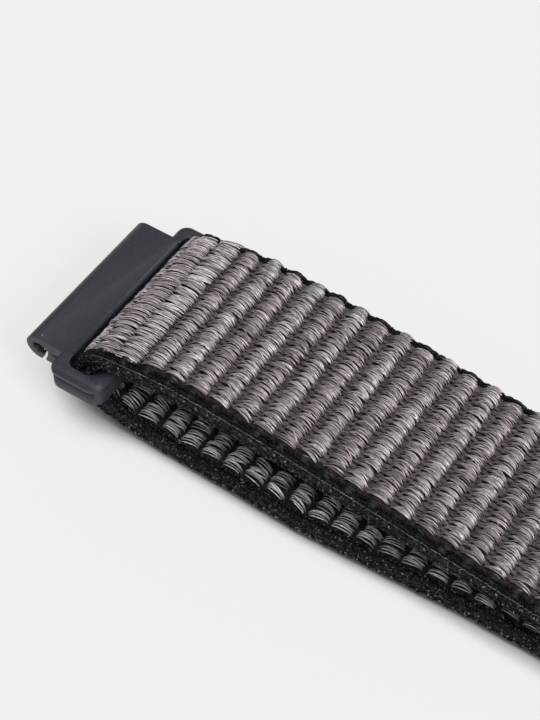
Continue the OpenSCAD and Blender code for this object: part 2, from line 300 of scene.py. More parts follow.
def new_piece(name, points, faces, threads=None, shades=None, tones=None):
    """A piece from arrays. Threads are (along, round) places on the yarn, one for each face corner."""
    mesh = bpy.data.meshes.new(name)
    sizes = np.concatenate([np.full(len(group), group.shape[1]) for group in faces])
    corners = np.concatenate([group.ravel() for group in faces]).astype(np.int32)
    mesh.vertices.add(len(points))
    mesh.vertices.foreach_set("co", points.astype(np.float32).ravel())
    mesh.loops.add(len(corners))
    mesh.loops.foreach_set("vertex_index", corners)
    mesh.polygons.add(len(sizes))
    mesh.polygons.foreach_set("loop_start", np.concatenate([[0], np.cumsum(sizes)[:-1]]).astype(np.int32))
    mesh.polygons.foreach_set("use_smooth", np.ones(len(sizes), bool))
    if threads is not None:
        layer = mesh.uv_layers.new(name="Thread")
        layer.data.foreach_set("uv", threads.astype(np.float32).ravel())
    for label, values in (("shade", shades), ("tone", tones)):
        if values is not None:
            attribute = mesh.attributes.new(label, "FLOAT", "POINT")
            attribute.data.foreach_set("value", values.astype(np.float32).ravel())
    mesh.update(calc_edges=True)
    mesh.validate()
    piece = bpy.data.objects.new(name, mesh)
    bpy.context.collection.objects.link(piece)
    return piece


def skin(rings):
    """Faces round and over the ends of tubes, whose points stand as (tube, ring, side, 3)."""
    tubes, count, sides = rings.shape[:3]
    index = np.arange(tubes * count * sides).reshape(tubes, count, sides)
    here, ahead = index[:, :-1], index[:, 1:]
    walls = np.stack([here, np.roll(here, -1, 2), np.roll(ahead, -1, 2), ahead], -1).reshape(-1, 4)
    ends = np.concatenate([index[:, 0, ::-1], index[:, -1]])
    return [walls, ends]


def thread_places(rings, along):
    """The yarn's own (along, round) place of each face corner of skinned tubes."""
    tubes, count, sides = rings.shape[:3]
    near = np.broadcast_to(along[:, :-1, None], (tubes, count - 1, sides))
    far = np.broadcast_to(along[:, 1:, None], (tubes, count - 1, sides))
    left = np.broadcast_to(np.arange(sides) / sides, near.shape)
    right = left + 1 / sides
    u = np.stack([near, near, far, far], -1)
    v = np.stack([left, right, right, left], -1)
    walls = np.stack([u, v], -1).reshape(-1, 2)
    caps = np.zeros((2 * tubes * sides, 2))
    return np.concatenate([walls, caps])


def tubes_along(centres, radius, sides):
    """Rings round tubes whose middle lines stand as (tube, ring, 3), with a radius that fits each ring."""
    way = np.gradient(centres, axis=1)
    way /= np.linalg.norm(way, axis=2, keepdims=True)
    side = np.cross([0.0, 0.0, 1.0], way)
    steep = np.linalg.norm(side, axis=2, keepdims=True) < 0.2
    side = np.where(steep, [0.0, 1.0, 0.0], side)
    side /= np.linalg.norm(side, axis=2, keepdims=True)
    over = np.cross(way, side)
    turn = 2 * np.pi * np.arange(sides) / sides
    wide = np.cos(turn)[:, None] * side[:, :, None]
    high = np.sin(turn)[:, None] * over[:, :, None]
    radius = np.broadcast_to(radius, centres.shape[:2])
    return centres[:, :, None] + radius[..., None, None] * (wide + high)


# The line that the strip follows


def arc(centre, radius, start, end, count):
    turn = np.radians(np.linspace(start, end, count + 1))
    return np.stack([centre[0] + radius * np.cos(turn), centre[1] + radius * np.sin(turn)], 1)


def bezier(a, b, c, d, count):
    t = np.linspace(0, 1, count + 1)[:, None]
    shares = ((1 - t) ** 3, 3 * (1 - t) ** 2 * t, 3 * (1 - t) * t**2, t**3)
    return sum(share * np.array(point) for share, point in zip(shares, (a, b, c, d)))


def slope(degrees):
    return np.array([math.cos(math.radians(degrees)), math.sin(math.radians(degrees))])


# How far the strip lies off its middle: (length along the strip, sideways), in millimetres
SWAY = (
    (24, 0.0), (36, 0.5), (86, 0.5), (95, 0.0), (110, -0.3),
    (122, -0.6), (132, -0.9), (142, -0.5), (153, 0.0),
)


class StripLine:
    """The middle line of the strip in the XZ plane, from the flap's tip to the end of the sewn return."""

    arch_steps = 60
    arc_steps = 30
    ramp_steps = 16
    back_steps = 24
    run_out = 5 * MM
    fold_room = 1 * MM
    step = 0.25 * MM

    def __init__(self):
        lay = settings("strap_lay")
        half = lay.cloth_t / 2
        rise, fall = math.degrees(lay.rise), math.degrees(lay.fall)
        floor_z = half + lay.rib_h
        layer_top = floor_z + half + lay.pile_h + lay.lay_gap
        flap_z = layer_top + lay.patch_t + half
        sewn_z = layer_top + lay.pile_h + half
        fold_a = np.array([FOLD_X, FOLD_Z])
        fold_b = np.array([-FOLD_X, FOLD_Z])
        sewn_x = fold_b[0] - lay.return_l
        tip_x = sewn_x - lay.sewn_l - lay.tab_room - lay.tab_l
        meet = np.array([tip_x - lay.flap_flat_l, flap_z])
        # The fold goes round the shell with its free room and the loops inwards
        shell_t = SHELL_HIGH.z - LOWER_SHELL_LOW.z
        radius = shell_t / 2 + self.fold_room + lay.pile_h + half
        in_a = fold_a + radius * slope(90 + rise)
        out_a = fold_a + radius * slope(270 - fall)
        in_b = fold_b + radius * slope(270 + fall)
        out_b = fold_b + radius * slope(450 - rise)
        ramp_a = [fold_a[0] + lay.ramp_l, floor_z]
        ramp_b = [fold_b[0] - lay.ramp_l, floor_z]
        floor_pull = np.array([lay.floor_pull, 0])
        back = np.array([lay.return_pull, 0])
        flat = meet + [-lay.flat_pull, lay.flat_lift]
        ramp_out = out_a + lay.ramp_pull * slope(-fall)
        ramp_in = in_b - lay.ramp_pull * slope(fall)
        turn_out = out_b + lay.return_pull * slope(180 - rise)
        sewn = [sewn_x, sewn_z]
        line = np.vstack([
            [[tip_x, flap_z]],
            bezier(meet, flat, in_a + lay.arch_pull * slope(rise), in_a, self.arch_steps),
            arc(fold_a, radius, 90 + rise, 270 - fall, self.arc_steps)[1:],
            bezier(out_a, ramp_out, ramp_a - floor_pull, ramp_a, self.ramp_steps)[1:],
            bezier(ramp_b, ramp_b + floor_pull, ramp_in, in_b, self.ramp_steps),
            arc(fold_b, radius, 270 + fall, 450 - rise, self.arc_steps)[1:],
            bezier(out_b, turn_out, sewn + back, sewn, self.back_steps)[1:],
            [[sewn_x - lay.sewn_l, sewn_z]],
        ])
        length_at = np.concatenate([[0], np.cumsum(np.linalg.norm(np.diff(line, axis=0), axis=1))])
        self.ribs = int(length_at[-1] / lay.rib_pitch)
        # Straight run-outs, for yarn that reaches a little past an end
        first = line[0] + [self.run_out, 0]
        last = line[-1] - [self.run_out, 0]
        self.line = np.vstack([first, line, last])
        self.at = np.concatenate([[-self.run_out], length_at, [length_at[-1] + self.run_out]])

    def middle(self, s):
        return np.stack([np.interp(s, self.at, places) for places in self.line.T], -1)

    def place(self, points):
        """Lays (length, across, height) points on the line."""
        s, y, h = np.moveaxis(points, -1, 0)
        way = self.middle(s + self.step) - self.middle(s - self.step)
        way /= np.linalg.norm(way, axis=-1, keepdims=True)
        middle = self.middle(s)
        x = middle[..., 0] + h * way[..., 1]
        z = middle[..., 1] - h * way[..., 0]
        at, aside = np.array(SWAY).T * MM
        return np.stack([x, y + np.interp(s, at, aside), z], -1)


# Stretches of the strip, in whole ribs from the tip. Each crosses at most one hinge.


class Stretch:
    """Part of the strip, the bodies that it follows and the frame's nodes that it stands for."""

    def __init__(self, name, first, last, bodies, nodes, hinge=None):
        self.name, self.first, self.last = name, first, last
        self.bodies, self.nodes, self.hinge = bodies, nodes, hinge


STRETCHES = [
    Stretch("tip", 0, 4, ["flap_tip"], ["flap_end"]),
    Stretch("flap", 4, 13, ["flap_tip", "flap_root"], ["flap_end", "flap_middle"], 8),
    Stretch("crest", 13, 24, ["flap_root", "band"], ["flap_middle", "band_upper"], 18),
    Stretch("fold", 24, 44, ["band"], ["band_upper", "band_fold", "band_lower"]),
    Stretch("under", 44, 55, ["band", "tail_1"], ["band_lower", "tail_near"], 52),
    Stretch("curl", 55, 61, ["tail_1", "tail_2"], ["tail_near", "tail_middle"], 58),
    Stretch("tail", 61, 67, ["tail_2", "tail_3"], ["tail_middle", "tail_far"], 64),
    Stretch("return", 67, 91, ["tail_3"], ["tail_far", "tail_fold", "sewn_return"]),
]
PATCH_RIBS = 8


def hand_over(piece, look, body, node):
    """Gives a piece its finish, the body that it rides on and the frame's node that it stands for."""
    piece.data.materials.append(look)
    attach(piece, body)
    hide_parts(node)


def dress(piece, stretch, look):
    """Gives a webbing piece its finish and hides the frame's nodes that it stands for.
    A piece whose stretch crosses no hinge rides on its body; one across a hinge stays fixed where it lies.
    """
    piece.data.materials.append(look)
    if stretch.hinge is None:
        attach(piece, stretch.bodies[0])
    else:
        pitch = settings("strap_lay").rib_pitch
        line = StripLine()
        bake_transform(piece)
    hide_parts(*stretch.nodes)


# Shader maths


class Value:
    """A socket of a material's node tree, to reckon with as with a number."""

    def __init__(self, look, socket):
        self.look, self.socket = look, socket

    def maths(self, operation, a, b):
        return self.look.node("ShaderNodeMath", {"operation": operation}, {0: a, 1: b})

    def __add__(self, other):
        return self.maths("ADD", self, other)

    def __radd__(self, other):
        return self.maths("ADD", other, self)

    def __mul__(self, other):
        return self.maths("MULTIPLY", self, other)

    def __rmul__(self, other):
        return self.maths("MULTIPLY", other, self)

    def __gt__(self, other):
        return self.maths("GREATER_THAN", self, other)

    def __lt__(self, other):
        return self.maths("LESS_THAN", self, other)


class Look:
    """A material in the making."""

    def __init__(self, name, roughness=0.5, specular=0.5, metallic=0.0, sheen=0.0):
        self.material = bpy.data.materials.new(name)
        self.material.use_nodes = True
        self.tree = self.material.node_tree
        self.sockets = self.tree.nodes["Principled BSDF"].inputs
        self.sockets["Roughness"].default_value = roughness
        self.sockets["Specular IOR Level"].default_value = specular
        self.sockets["Metallic"].default_value = metallic
        self.sockets["Sheen Weight"].default_value = sheen

    def feed(self, socket, value):
        if isinstance(value, Value):
            self.tree.links.new(value.socket, socket)
        elif socket.type == "VECTOR":
            socket.default_value = tuple(value)[:3]
        else:
            socket.default_value = value

    def node(self, kind, options=None, inputs=None, output=0):
        """Any node: its options are set first, then the values or links of its sockets."""
        made = self.tree.nodes.new(kind)
        for key, value in (options or {}).items():
            setattr(made, key, value)
        for key, value in (inputs or {}).items():
            self.feed(made.inputs[key], value)
        return Value(self, made.outputs[output])

    def attribute(self, name):
        return self.node("ShaderNodeAttribute", {"attribute_name": name}, output="Fac")

    def place(self, scale=(1, 1, 1), source="Object"):
        """Places on the piece, stretched by a scale for each direction."""
        if source == "Object":
            spot = self.node("ShaderNodeTexCoord", output="Object")
        else:
            spot = self.node("ShaderNodeUVMap", {"uv_map": source})
        return self.node("ShaderNodeMapping", inputs={"Vector": spot, "Scale": scale})

    def noise(self, place, scale, detail=2.0, roughness=0.5):
        values = {"Vector": place, "Scale": scale, "Detail": detail, "Roughness": roughness}
        return self.node("ShaderNodeTexNoise", inputs=values)

    def mix(self, factor, a, b):
        return self.node("ShaderNodeMix", {"data_type": "RGBA"}, {"Factor": factor, 6: a, 7: b}, output=2)

    def ramp(self, value, low, high, start=0.0, end=1.0):
        """A number carried from low..high to start..end, held at the ends."""
        values = {"Value": value, "From Min": low, "From Max": high, "To Min": start, "To Max": end}
        return self.node("ShaderNodeMapRange", {"clamp": True}, values)

    def scaled(self, tint, factor):
        """A colour made lighter or darker by a number."""
        return self.node("ShaderNodeVectorMath", {"operation": "SCALE"}, {0: tint, "Scale": factor})

    def finish(self, base, roughness=None, bump=None, depth=0.02 * MM, strength=0.5):
        self.feed(self.sockets["Base Color"], base)
        if roughness is not None:
            self.feed(self.sockets["Roughness"], roughness)
        if bump is not None:
            values = {"Height": bump, "Distance": depth, "Strength": strength}
            self.feed(self.sockets["Normal"], self.node("ShaderNodeBump", inputs=values))
        return self.material


def plastic_look():
    """Dark moulded plastic with a fine grain, faint clouds and a few pale specks, with painted shade in its
    hollows.
    """
    look = Look("moulded_plastic", specular=0.42)
    spot = look.place()
    grain = look.noise(spot, 5200.0, 3.0, 0.65)
    mottle = look.noise(spot, 3400.0, 2.0)
    clouds = look.noise(spot, 260.0, 2.0)
    cells = look.node("ShaderNodeTexVoronoi", inputs={"Vector": spot, "Scale": 560.0})
    specks = (cells < 0.06) * (look.noise(spot, 420.0) > 0.52)
    # Painted shade: ambient occlusion darkens the colour in the bore, at the seam and in other hollows
    painted_shade_openness = look.node("ShaderNodeAmbientOcclusion", inputs={"Distance": 1.2 * MM})
    shade = look.ramp(painted_shade_openness, 0.4, 0.9, 0.2) * (0.47 + clouds * 0.16 + grain * 0.1 + mottle * 0.8)
    tint = look.scaled(settings("strap_colours").plastic, shade)
    base = look.mix(specks * 0.4, tint, (0.4, 0.42, 0.46, 1))
    return look.finish(base, 0.38 + grain * 0.16, grain, 0.012 * MM, 0.5)


def yarn_look(name, dull, bright, roughness=0.4, streaks=5.0, sheen=0.08, specular=0.5):
    """Multi-filament yarn. Its filaments run along each strand, and each strand has its own shade; on arching
    strands that shade also carries a painted highlight and painted shade along the arch.
    """
    look = Look(name, roughness, specular=specular, sheen=sheen)
    thread = look.place((1.4, streaks, 1), "Thread")
    filaments = look.noise(thread, 1.0, 3.0, 0.6)
    shade = look.attribute("shade")
    tint = look.mix(look.attribute("tone"), dull, bright)
    lines = look.ramp(filaments, 0.34, 0.66, 0.35, 1.5)
    base = look.scaled(tint, lines * (0.2 + 1.6 * shade))
    return look.finish(base, bump=filaments, depth=0.05 * MM, strength=0.7)


def knit_look():
    """Black knitted yarn, glossy, with painted glints and painted sparks of light on filaments here and there."""
    colours = settings("strap_colours")
    look = Look("knitted_edge", 0.3, specular=0.22)
    spot = look.place()
    fibres = look.noise(spot, 7500.0, 2.0, 0.6)
    painted_spark_noise = look.noise(spot, 4200.0, 1.0)
    shade = look.attribute("shade")
    # Painted glints and painted sparks: pale spots mixed into the colour where filaments would catch the light
    painted_glint = look.ramp(shade, 0.8, 0.95) * look.ramp(fibres, 0.45, 0.6)
    painted_spark = look.ramp(painted_spark_noise, 0.5, 0.63) * look.ramp(shade, 0.25, 0.9)
    base = look.scaled(colours.edge_yarn, shade * shade * 2.6 + fibres * 0.3)
    base = look.mix(painted_spark * 0.75, base, (0.12, 0.126, 0.15, 1))
    base = look.mix(painted_glint * 0.8, base, (0.42, 0.43, 0.47, 1))
    return look.finish(base, bump=fibres, depth=0.09 * MM, strength=1.0)


def ground_look():
    """The woven ground under the yarn, brown-black and matt, its face among the loops darker with painted shade.
    """
    colours = settings("strap_colours")
    look = Look("woven_ground", 0.85, specular=0.15)
    spot = look.place((1, 1.6, 1))
    weave = look.noise(spot, 2600.0, 2.0)
    base = look.scaled(colours.binding, look.attribute("shade") * look.ramp(weave, 0.3, 0.7, 0.1, 0.62))
    return look.finish(base, bump=weave, depth=0.12 * MM, strength=0.8)


def steel_look(name, tint, roughness):
    """Drawn metal with fine scratches along the bar."""
    look = Look(name, roughness, metallic=1.0)
    scratches = look.noise(look.place((1, 0.05, 1)), 9000.0, 3.0, 0.6)
    wear = look.noise(look.place(), 900.0, 3.0)
    base = look.scaled(tint, 0.75 + scratches * 0.35 + wear * 0.25)
    return look.finish(base, roughness - 0.08 + scratches * 0.2, scratches, 0.01 * MM, 0.4)


def pressed_look():
    """Webbing pressed and sealed to a hard dark tab, its weave still faintly there."""
    look = Look("pressed_tab", specular=0.45)
    spot = look.place()
    weave = look.node("ShaderNodeTexWave", {"wave_type": "BANDS", "bands_direction": "Y"},
                      {"Vector": spot, "Scale": 420.0, "Distortion": 1.5, "Detail": 2.0})
    grain = look.noise(spot, 4200.0, 3.0, 0.6)
    base = look.scaled((0.016, 0.016, 0.018, 1), 0.7 + grain * 0.5 + weave * 0.25)
    return look.finish(base, 0.34 + grain * 0.2, grain * 0.6 + weave * 0.5, 0.03 * MM, 0.5)


def hook_look():
    """Stiff dark hooks, moulded, with a fine grain."""
    look = Look("moulded_hooks")
    grain = look.noise(look.place(), 3800.0, 3.0)
    base = look.scaled((0.02, 0.02, 0.023, 1), 0.7 + grain * 0.7)
    return look.finish(base, 0.32 + grain * 0.18, grain, 0.02 * MM, 0.4)


# Pieces of the webbing


def ribs_of(stretch):
    return np.arange(stretch.first, stretch.last)


def across_places(pitch, width):
    """Even places across the strip."""
    count = round(width / pitch)
    return (np.arange(count) - (count - 1) / 2) * width / count


def inner_width():
    return WEB_HIGH.y - WEB_LOW.y - 2 * settings("strap_yarn").edge_w


def bundle_places(yarn):
    """Places across the strip of the bundles of a rib."""
    return across_places(yarn.arc_pitch, inner_width()) + yarn.rib_shift


def grid(a, b):
    """Every pair of the values of a and b, as two rows."""
    return [spots.ravel() for spots in np.meshgrid(a, b, indexing="ij")]


def random_for(stretch, offset):
    return np.random.default_rng(settings("strap_yarn").seed + offset + stretch.first)


def shaken(values, spread, rng):
    """These lengths, each a little off at random, by a spread in millimetres."""
    return values + rng.normal(0, spread * MM, np.shape(values))


def strand_shades(middle, spread, least, rings, rng):
    """A shade for each strand, spread at random round a middle one."""
    return (middle + rng.normal(0, spread, (len(rings), 1))).clip(least)


# Painted light: how bright a strand is painted at these degrees round its arch, from the fold's side to the flap's
# tip, with painted shade towards its feet and a painted highlight on a rib's shoulder and a loop's crest
PAINTED_LIGHT_AT = (-96, -50, -30, 0, 20, 40, 55, 70, 96)
RIB_PAINTED_LIGHT = (0.2, 0.24, 0.34, 0.56, 0.85, 1.28, 1.15, 0.42, 0.2)
OPEN_PAINTED_LIGHT = (0.5, 0.7, 0.85, 0.95, 1.0, 1.0, 0.85, 0.65, 0.5)
EVEN_PAINTED_LIGHT = (0.5, 0.8, 0.95, 1.0, 1.0, 0.95, 0.8, 0.65, 0.5)
LOOP_PAINTED_LIGHT = (0.35, 0.6, 0.9, 1.2, 1.1, 0.9, 0.7, 0.5, 0.3)


class Arch:
    """How a bundle of strands arches over the ground, in millimetres and shares.

    It has half its length, its crest's lean, its heights, its spread at the crest and at both feet, and the
    girth and number of its strands, then how bell shaped, loose, rounded and swinging it is, and its table of
    painted light.
    """

    def __init__(self, reach, lean, base, top, spread, pinch, girth, strands=3, place=0.0, bell=1.0,
                 loose=0.03, rounding=0.03, swing=0.11, bright=EVEN_PAINTED_LIGHT):
        self.reach, self.lean, self.base, self.top = reach * MM, lean, base * MM, top * MM
        self.spread, self.pinch, self.girth = spread * MM, pinch, girth
        self.strands, self.place, self.bell = strands, place * MM, bell
        self.loose, self.rounding, self.swing, self.bright = loose * MM, rounding, swing * MM, bright


# Even ribs are bold, odd ribs are fine
BOLD = Arch(1.3, 0.08, 0.4, 1.38, 0.178, (0.15, 0.45), 1.0, 4, place=0.04, bell=1.6, loose=0.04,
            bright=RIB_PAINTED_LIGHT)
FINE = Arch(1.3, 0.04, 0.4, 1.34, 0.178, (0.15, 0.45), 0.95, 4, place=0.04, bell=1.5, loose=0.045,
            bright=RIB_PAINTED_LIGHT)
# A fine strand that wanders from one bundle of a rib to the next
STRAY = Arch(1.2, 0.06, 0.45, 1.43, 0.0, (1.0, 1.0), 0.7, 1, place=0.04, bell=1.5, swing=0.32,
             bright=RIB_PAINTED_LIGHT)
# Beside a fold the ribs open and lie flatter
OPEN = Arch(1.55, 0.0, 0.72, 1.24, 0.185, (0.5, 0.7), 1.0, 4, loose=0.045, bright=OPEN_PAINTED_LIGHT)
OPEN_RIBS = (30, 31, 32, 33, 35, 37, 75, 77, 79, 81, 83)
BINDING = Arch(0.75, 0.0, 0.16, 0.52, 0.17, (0.8, 0.8), 1.5)
TUFT = Arch(0.6, 0.0, 0.3, 1.02, 0.13, (0.7, 0.7), 1.3, 2)
EDGE_WRAP = Arch(0.95, 0.0, 0.2, 1.08, 0.12, (0.7, 0.7), 1.9, swing=0.04)
LOOP = Arch(1.22, 0.0, -0.2, -1.5, 0.16, (0.7, 0.7), 1.05, 6, loose=0.05, rounding=0.13, swing=0.16,
            bright=LOOP_PAINTED_LIGHT)

# How the bundles vary: their reach, their rise, and their sideways sway for each part that they are loose
REACH_RANGE = (0.93, 1.05)
RISE_SPREAD = 0.06
SWAY_SPREAD = 1.5
# How soon a bundle narrows at its near foot, and a strand's girth at its feet with what the crest adds
NEAR_NARROWING = 1.4
FOOT_GIRTH = 0.55
CREST_GIRTH = 0.45


def arches(s, y, form, radius, rng, rings=8, sides=4, crown=1.0):
    """Strands of bundles with their middles at (s, y), as (tube, ring, side, 3), and how bright each ring is
    painted.
    """
    turn = np.radians(np.linspace(PAINTED_LIGHT_AT[0], PAINTED_LIGHT_AT[-1], rings))
    near, far = form.pinch
    narrow = np.where(turn < 0, near + (1 - near) * np.cos(NEAR_NARROWING * turn).clip(0) ** 2,
                      far + (1 - far) * np.cos(turn).clip(0) ** 0.5)
    shape = (len(s), form.strands, rings)
    strand = np.arange(form.strands) - (form.strands - 1) / 2
    reach = form.reach * rng.uniform(*REACH_RANGE, (len(s), 1, 1))
    reach = reach * rng.normal(1, form.loose / MM, shape[:2])[..., None]
    sway = rng.normal(0, form.swing, (len(s), 1, 1))
    sway = sway + rng.normal(0, SWAY_SPREAD * form.loose, shape[:2])[..., None]
    along = s[:, None, None] - reach * (np.sin(turn) + form.lean * np.cos(turn)) + np.zeros(shape)
    across = y[:, None, None] + strand[:, None] * form.spread * narrow + sway * np.sin(turn)
    across = across + rng.normal(0, form.loose, shape[:2])[..., None]
    rise = (form.top - form.base) * rng.normal(1, RISE_SPREAD, (len(s), 1, 1))
    rise = rise * np.reshape(crown, (-1, 1, 1))
    rise = rise + rng.normal(0, form.loose, shape[:2])[..., None]
    rise = rise * (1 - form.rounding * np.abs(strand)[:, None] ** 1.5)
    height = form.base + rise * np.sign(np.cos(turn)) * np.abs(np.cos(turn)) ** form.bell
    centres = np.stack([along, across, height], -1).reshape(-1, rings, 3)
    girth = radius * form.girth * (FOOT_GIRTH + CREST_GIRTH * np.cos(turn).clip(0) ** 0.5)
    # Painted light: how bright each ring is painted, read from its arch's table
    bright = np.interp(np.degrees(turn), PAINTED_LIGHT_AT, form.bright)
    return tubes_along(centres, girth, sides), np.broadcast_to(bright, centres.shape[:2])


def run_along(shape, rng):
    """Where each ring is along its own yarn."""
    return rng.uniform(0, 50, (shape[0], 1)) + np.linspace(0, 4, shape[1])


def one_tone(rings, shades, rng):
    """Rows of strands that all have the same tone."""
    return rings, shades, np.zeros_like(shades), run_along(shades.shape, rng)


# The slow change across a rib: its steps, and how far it moves the rib and changes its shade and tone
DRIFT_STEPS = 9
RIB_DRIFT = 0.04
SHADE_DRIFT = 0.03
TONE_DRIFT = 0.12
RIB_SINK = 0.22
RIB_ROUND = 0.5 * MM
# A rib's shade, how much bundles and strands differ from it, the shades allowed, and how much tones differ
RIB_SHADE = 0.58
BUNDLE_SHADES = 0.08
RIB_SHADES = 0.25
SHADE_RANGE = (0.06, 1.2)
TONE_SPREAD = 0.14


def rib_bundles(places, rib, form, tone, rng):
    """The bundles of one rib, with a shade and a tone for each strand."""
    lay, yarn = settings("strap_lay"), settings("strap_yarn")
    middle = np.full(len(places), (rib + 0.5) * lay.rib_pitch + form.place)
    drift = np.interp(places, np.linspace(places[0], places[-1], DRIFT_STEPS), rng.normal(0, 1, DRIFT_STEPS))
    middle += shaken(RIB_DRIFT * MM * drift, 0.05, rng)
    sink = np.exp(-(places - places[0]) / RIB_ROUND) + np.exp((places - places[-1]) / RIB_ROUND)
    across = shaken(places, 0.04, rng)
    rings, bright = arches(middle, across, form, yarn.strand_r, rng, crown=1 - RIB_SINK * sink)
    shade = RIB_SHADE + SHADE_DRIFT * drift[:, None] + BUNDLE_SHADES * rng.normal(0, 1, (len(places), 1))
    shade = (shade + rng.normal(0, RIB_SHADES, (len(places), form.strands))).clip(*SHADE_RANGE)
    tones = tone + TONE_DRIFT * drift[:, None] + rng.normal(0, TONE_SPREAD, shade.shape)
    # Painted light: each strand's shade times the painted highlight and painted shade round its arch
    shades = shade.reshape(-1, 1) * bright
    return rings, shades, tones.reshape(-1, 1) + np.zeros_like(shades), run_along(shades.shape, rng)


# Places of further bundles past a rib's far end, bold and fine, and of small tufts before its near end
FAR_MORE = ((0.5, 0.98, 1.42), (0.45, 0.88))
NEAR_TUFTS = (0.9, 0.55)
TUFT_SHADE = 0.25
BOLD_TONE = 0.8
FINE_TONE = 0.2
TUFT_TONE = 0.1


def rib_rows(stretch, rng):
    """The strands that arch over the ribs. The ribs reach further at their far ends, bold ones most, small
    tufts close their near ends, and open ribs have one bundle more there."""
    yarn = settings("strap_yarn")
    places = bundle_places(yarn)
    tufts = places[0] - np.array(NEAR_TUFTS) * MM
    made = []
    for rib in ribs_of(stretch):
        fine = rib % 2
        form = OPEN if rib in OPEN_RIBS else FINE if fine else BOLD
        row = np.append(places, places[-1] + np.array(FAR_MORE[fine]) * MM)
        if form is OPEN:
            row = np.append(row[0] - yarn.arc_pitch, row)
        tone = FINE_TONE if fine else BOLD_TONE
        made.append(rib_bundles(row, rib, form, tone, rng))
        if form is not OPEN:
            made.append(rib_bundles(places + yarn.arc_pitch / 2, rib, STRAY, tone, rng))
        rings, shades, tones, runs = rib_bundles(tufts, rib, TUFT, TUFT_TONE, rng)
        made.append((rings, TUFT_SHADE * shades, tones, runs))
    return [np.concatenate(part) for part in zip(*made)]


BINDING_MORE = 0.5
VALLEY_SHIFT = 0.05


def binding_rows(stretch, rng):
    """Short dark strands in the valleys, set between the bundles of the ribs."""
    lay, yarn = settings("strap_lay"), settings("strap_yarn")
    places = bundle_places(yarn) + yarn.arc_pitch / 2
    places = np.append(places, places[-1] + BINDING_MORE * MM)
    ribs = ribs_of(stretch)
    s, y = grid(ribs[ribs > 0] * lay.rib_pitch - VALLEY_SHIFT * MM, places)
    rings, bright = arches(shaken(s, 0.12, rng), y, BINDING, yarn.strand_r, rng, rings=5)
    # Painted shade: the binding strands darken towards their feet
    return one_tone(rings, strand_shades(0.5, 0.22, 0.08, rings, rng) * (0.6 + 0.4 * bright), rng)


# Places of the black wraps beside the ribs' ends, near and far
NEAR_WRAPS = (0.62, 0.98, 1.3)
FAR_WRAPS = ((), (1.12,))
WRAP_SHADES = (0.2, 0.7)


def wrap_rows(stretch, rng):
    """Black strands that wrap the ribs' ends and fill the selvedges' tops, a lump to each rib."""
    lay, yarn = settings("strap_lay"), settings("strap_yarn")
    half = inner_width() / 2
    s, y = [], []
    for rib in ribs_of(stretch):
        places = [yarn.rib_shift - half - step * MM for step in NEAR_WRAPS]
        places += [yarn.rib_shift + half + step * MM for step in FAR_WRAPS[rib % 2]]
        y.extend(places)
        s.extend([(rib + 0.5) * lay.rib_pitch] * len(places))
    rings, bright = arches(shaken(np.array(s), 0.08, rng), np.array(y), EDGE_WRAP, yarn.strand_r, rng)
    # Painted shade: the wraps darken towards their feet
    return one_tone(rings, rng.uniform(*WRAP_SHADES, (len(rings), 1)) * bright, rng)


def loop_rows(stretch, rng):
    """The fastening loops on the inner face, one to each rib and row, but none where the hook patch is."""
    lay, yarn = settings("strap_lay"), settings("strap_yarn")
    ribs = ribs_of(stretch)
    ribs = ribs[ribs >= PATCH_RIBS]
    s, y = grid((ribs + 0.5) * lay.rib_pitch, across_places(yarn.loop_pitch, inner_width()))
    s = shaken(s, 0.1, rng)
    y = shaken(y, 0.08, rng)
    rings, bright = arches(s, y, LOOP, yarn.loop_strand_r, rng, sides=3)
    middle = 0.5 + np.repeat(rng.normal(0, 0.08, s.shape), LOOP.strands)[:, None]
    # Painted light: each loop's shade carries a painted highlight at its crest and painted shade at its feet
    return one_tone(rings, strand_shades(middle, 0.2, 0.05, rings, rng) * bright, rng)


def yarn_piece(name, rows, line):
    """One piece from rows of strands, laid on the line."""
    rings, shades, tones, runs = rows
    marks = [np.repeat(values.ravel(), rings.shape[2]) for values in (shades, tones)]
    return new_piece(name, line.place(rings).reshape(-1, 3), skin(rings), thread_places(rings, runs), *marks)


CORE_TOP = 0.92
CORE_VALLEY = 0.3
CORE_BOTTOM = -0.25
CORE_STEPS = 12
CORE_WIDE = 0.52
CORE_COLUMNS = 12
# How far the ground reaches under the near and the far selvedge
CORE_UNDER = (0.3, 0.6)
# Painted shade: the ground's lower face, among the loops, is darker by this share
UNDER_SHADE = 0.8


def even_places(stretch, steps):
    """Even places along a stretch, with this many steps to a rib."""
    count = (stretch.last - stretch.first) * steps + 1
    return np.linspace(stretch.first, stretch.last, count) * settings("strap_lay").rib_pitch


def core_rings(stretch):
    """The ground: a low ribbed slab under the strands."""
    s = even_places(stretch, CORE_STEPS)
    half = inner_width() / 2
    near, far = np.array(CORE_UNDER) * MM
    u = 2 * ((s / settings("strap_lay").rib_pitch) % 1) - 1
    top = (CORE_VALLEY + (CORE_TOP - CORE_VALLEY) * np.sqrt((1 - (u / CORE_WIDE) ** 2).clip(0))) * MM
    y = np.linspace(-half - near, half + far, CORE_COLUMNS) + settings("strap_yarn").rib_shift
    upper = np.broadcast_arrays(s[:, None], y, top[:, None])
    lower = np.broadcast_arrays(s[:, None], y[::-1], CORE_BOTTOM * MM)
    return np.concatenate([np.stack(upper, -1), np.stack(lower, -1)], 1)[None]


# Where the selvedges turn round a bar, along the strip, over what length and how much they swell there
FOLD_MIDDLES = (102.5, 238.0)
FOLD_SPREAD = 5.0
SWELL = 0.9
# The far selvedge's width and height above the middle, as shares of the near one's
FAR_EDGE = 0.42
FAR_EDGE_TOP = 0.8
